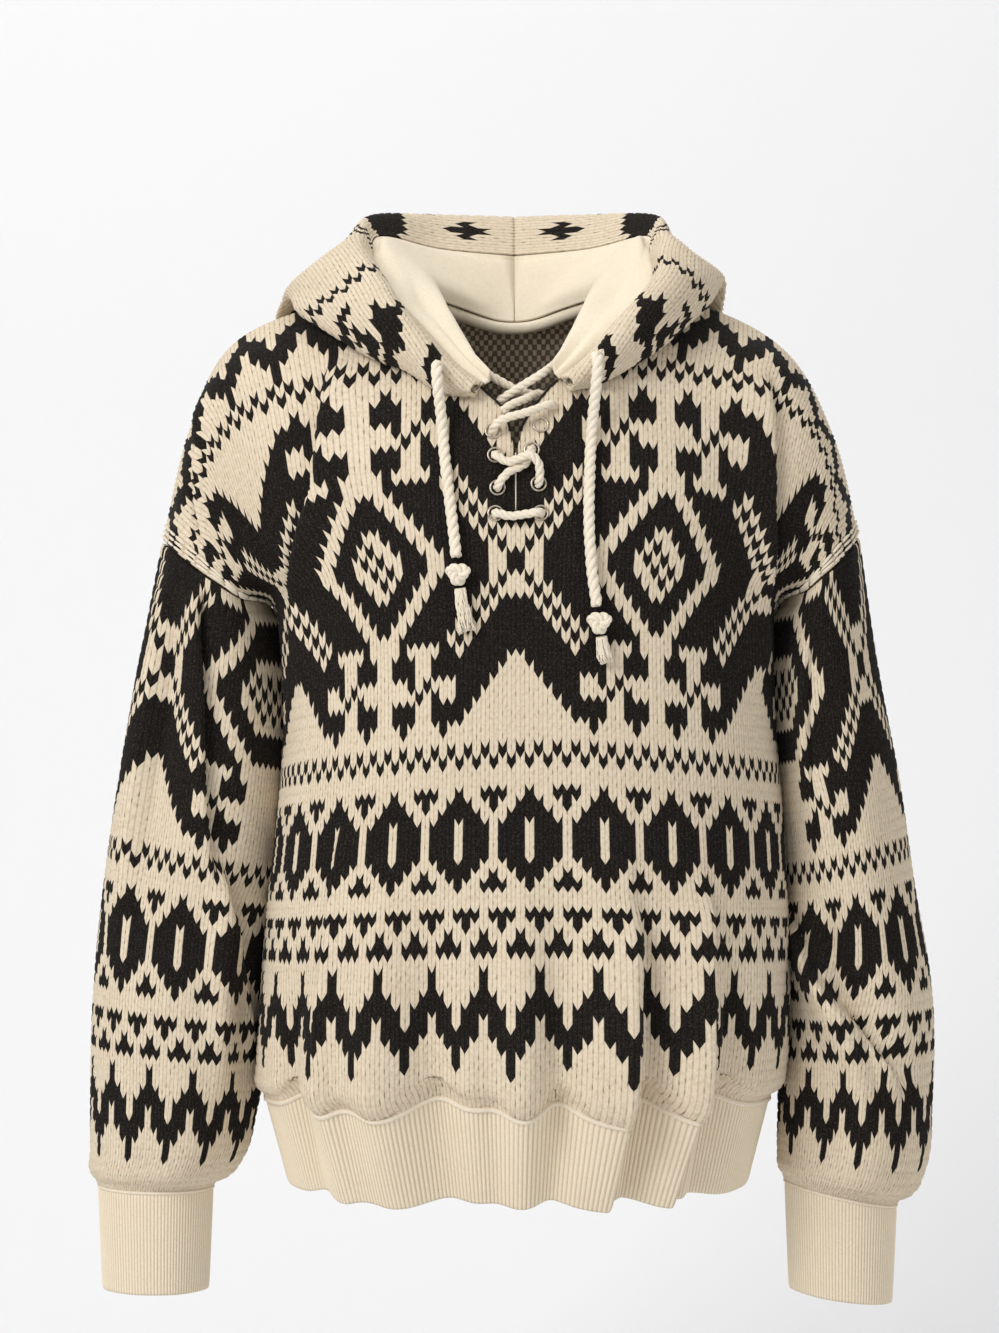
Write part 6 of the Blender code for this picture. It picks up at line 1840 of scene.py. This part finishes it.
def trims():
    """The cuffs' lips, cover-stitching, painted shadow lines on the neck edges, tape, slit thread and lace.
    """
    for side, word in WORDS.items():
        ring_lip(f"cuff_seam_lip_{word}", sleeve(np.arange(180) * 2.0, np.zeros(180), side), *CUFF_LIP)
        lines = [armhole_line(side, away, COVER_LIFT) for away in COVER_LINES]
        tubes(f"armhole_stitching_{word}", dashes(lines, *COVER_STITCH), SEAM_YARN)
        # a charcoal yarn along each neck edge, as painted shadow under the curled edge
        edge = []
        for row in np.linspace(*EDGE_ROWS, 12):
            point, out, _, _ = frame_at(float(edge_across(row, side)) * side, row)
            edge.append(point + out * (KNIT_WALL / 2 + EDGE_LIFT))
        yarn_line(f"neck_edge_shadow_{word}", edge, EDGE_RADIUS, 6, EDGE_SHADOW_YARN)
    tape = []
    shoulder = HOOD_SHOULDER + 0.02
    for side, start, end in ((-1, shoulder, 0.995), (1, 0.985, shoulder)):
        for way in np.linspace(start, end, 24):
            point, out, _ = neck_frame(float(way), side)
            tape.append(point - out * TAPE_DEPTH + np.array((0, 0, TAPE_LIFT)))
    yarn_line("neck_tape", tape, TAPE_RADIUS, 10, FLEECE_LOOK)
    slit = [frame_at(0.0, row) for row in np.linspace(SLIT_ROW + 0.1, SLIT_ROW + 5.0, 10)]
    thread = [point + out * THREAD_LIFT for point, out, _, _ in slit]
    yarn_line("slit_thread", thread, THREAD_RADIUS, 5, SEAM_YARN)
    centres = smooth_way(on_front(LACE_WAY), LACE_STEP)
    tubes("lace_rope", rope_grids(centres, LACE_DIAMETER), ROPE_LOOK, "lace")


def knot_line(centre):
    """The closed way of a stopper knot's rope: a trefoil."""
    turn = np.linspace(0, 2 * math.pi, 91)[:-1]
    loop = np.stack([
        np.sin(turn) + 2 * np.sin(2 * turn),
        -np.sin(3 * turn) * 1.1,
        np.cos(turn) - 2 * np.cos(2 * turn),
    ], axis=1) / 3.0
    line = centre + loop * tuple(radius - tuck for radius, tuck in zip(KNOT_RADII, KNOT_TUCK))
    return np.concatenate([line, line[:1]])


def fray_grids(way, rng):
    """Loose yarns that spread from a rope's cut end along its way."""
    _, one, two = line_frames(way)
    share = np.linspace(0, 1, len(way))
    grids = []
    for _ in range(FRAY_YARNS):
        turn_at = rng.uniform(0, 2 * math.pi)
        reach = math.sqrt(rng.uniform(0, 1))
        spread_out = np.interp(share, (0, 0.5, 1), TASSEL_RADII) * reach
        wobble = rng.normal(0, 0.0005, (len(way), 3)) * share[:, None] ** 0.5
        bend = rng.uniform(-0.9, 0.9)
        angle = turn_at + bend * share
        away = one * np.cos(angle)[:, None] + two * 0.8 * np.sin(angle)[:, None]
        strand = way + away * spread_out[:, None] * 0.92 + wobble
        keep = max(int(len(strand) * rng.uniform(0.75, 1.0)), 3)
        grids.append(tube_grid(strand[:keep], np.full(keep, FRAY_YARN_RADIUS), 5))
    return grids


def drawstrings():
    """The drawstrings with their knots and frayed ends, and the cords across the neck."""
    rng = np.random.default_rng(7)
    for word, way, knot_place, tassel_way in (
        ("right", DRAWSTRING_WAY_RIGHT, KNOT_RIGHT, TASSEL_WAY_RIGHT),
        ("left", DRAWSTRING_WAY_LEFT, KNOT_LEFT, TASSEL_WAY_LEFT),
    ):
        centres = smooth_way(on_front(way), DRAWSTRING_STEP)
        rope = tubes(f"drawstring_{word}_rope", rope_grids(centres, DRAWSTRING_DIAMETER), ROPE_LOOK,
                     "drawstring_" + word)
        knot_grids = rope_grids(knot_line(on_front([knot_place])[0]), KNOT_ROPE)
        knot = tubes(f"drawstring_{word}_knot", knot_grids, ROPE_LOOK, "drawstring_knot_" + word)
        grids = fray_grids(smooth_way(on_front(tassel_way), FRAY_STEP), rng)
        tassel = tubes(f"drawstring_{word}_fray", grids, ROPE_LOOK, "drawstring_tassel_" + word)
    for word, way in (("right", NECK_CORD_RIGHT), ("left", NECK_CORD_LEFT)):
        centres = smooth_way(way, LACE_STEP)
        rope = tubes(f"neck_cord_{word}_rope", rope_grids(centres, LACE_DIAMETER), ROPE_LOOK,
                     "neck_cord_" + word)


studio()
PIECES = garment()
drawstrings()
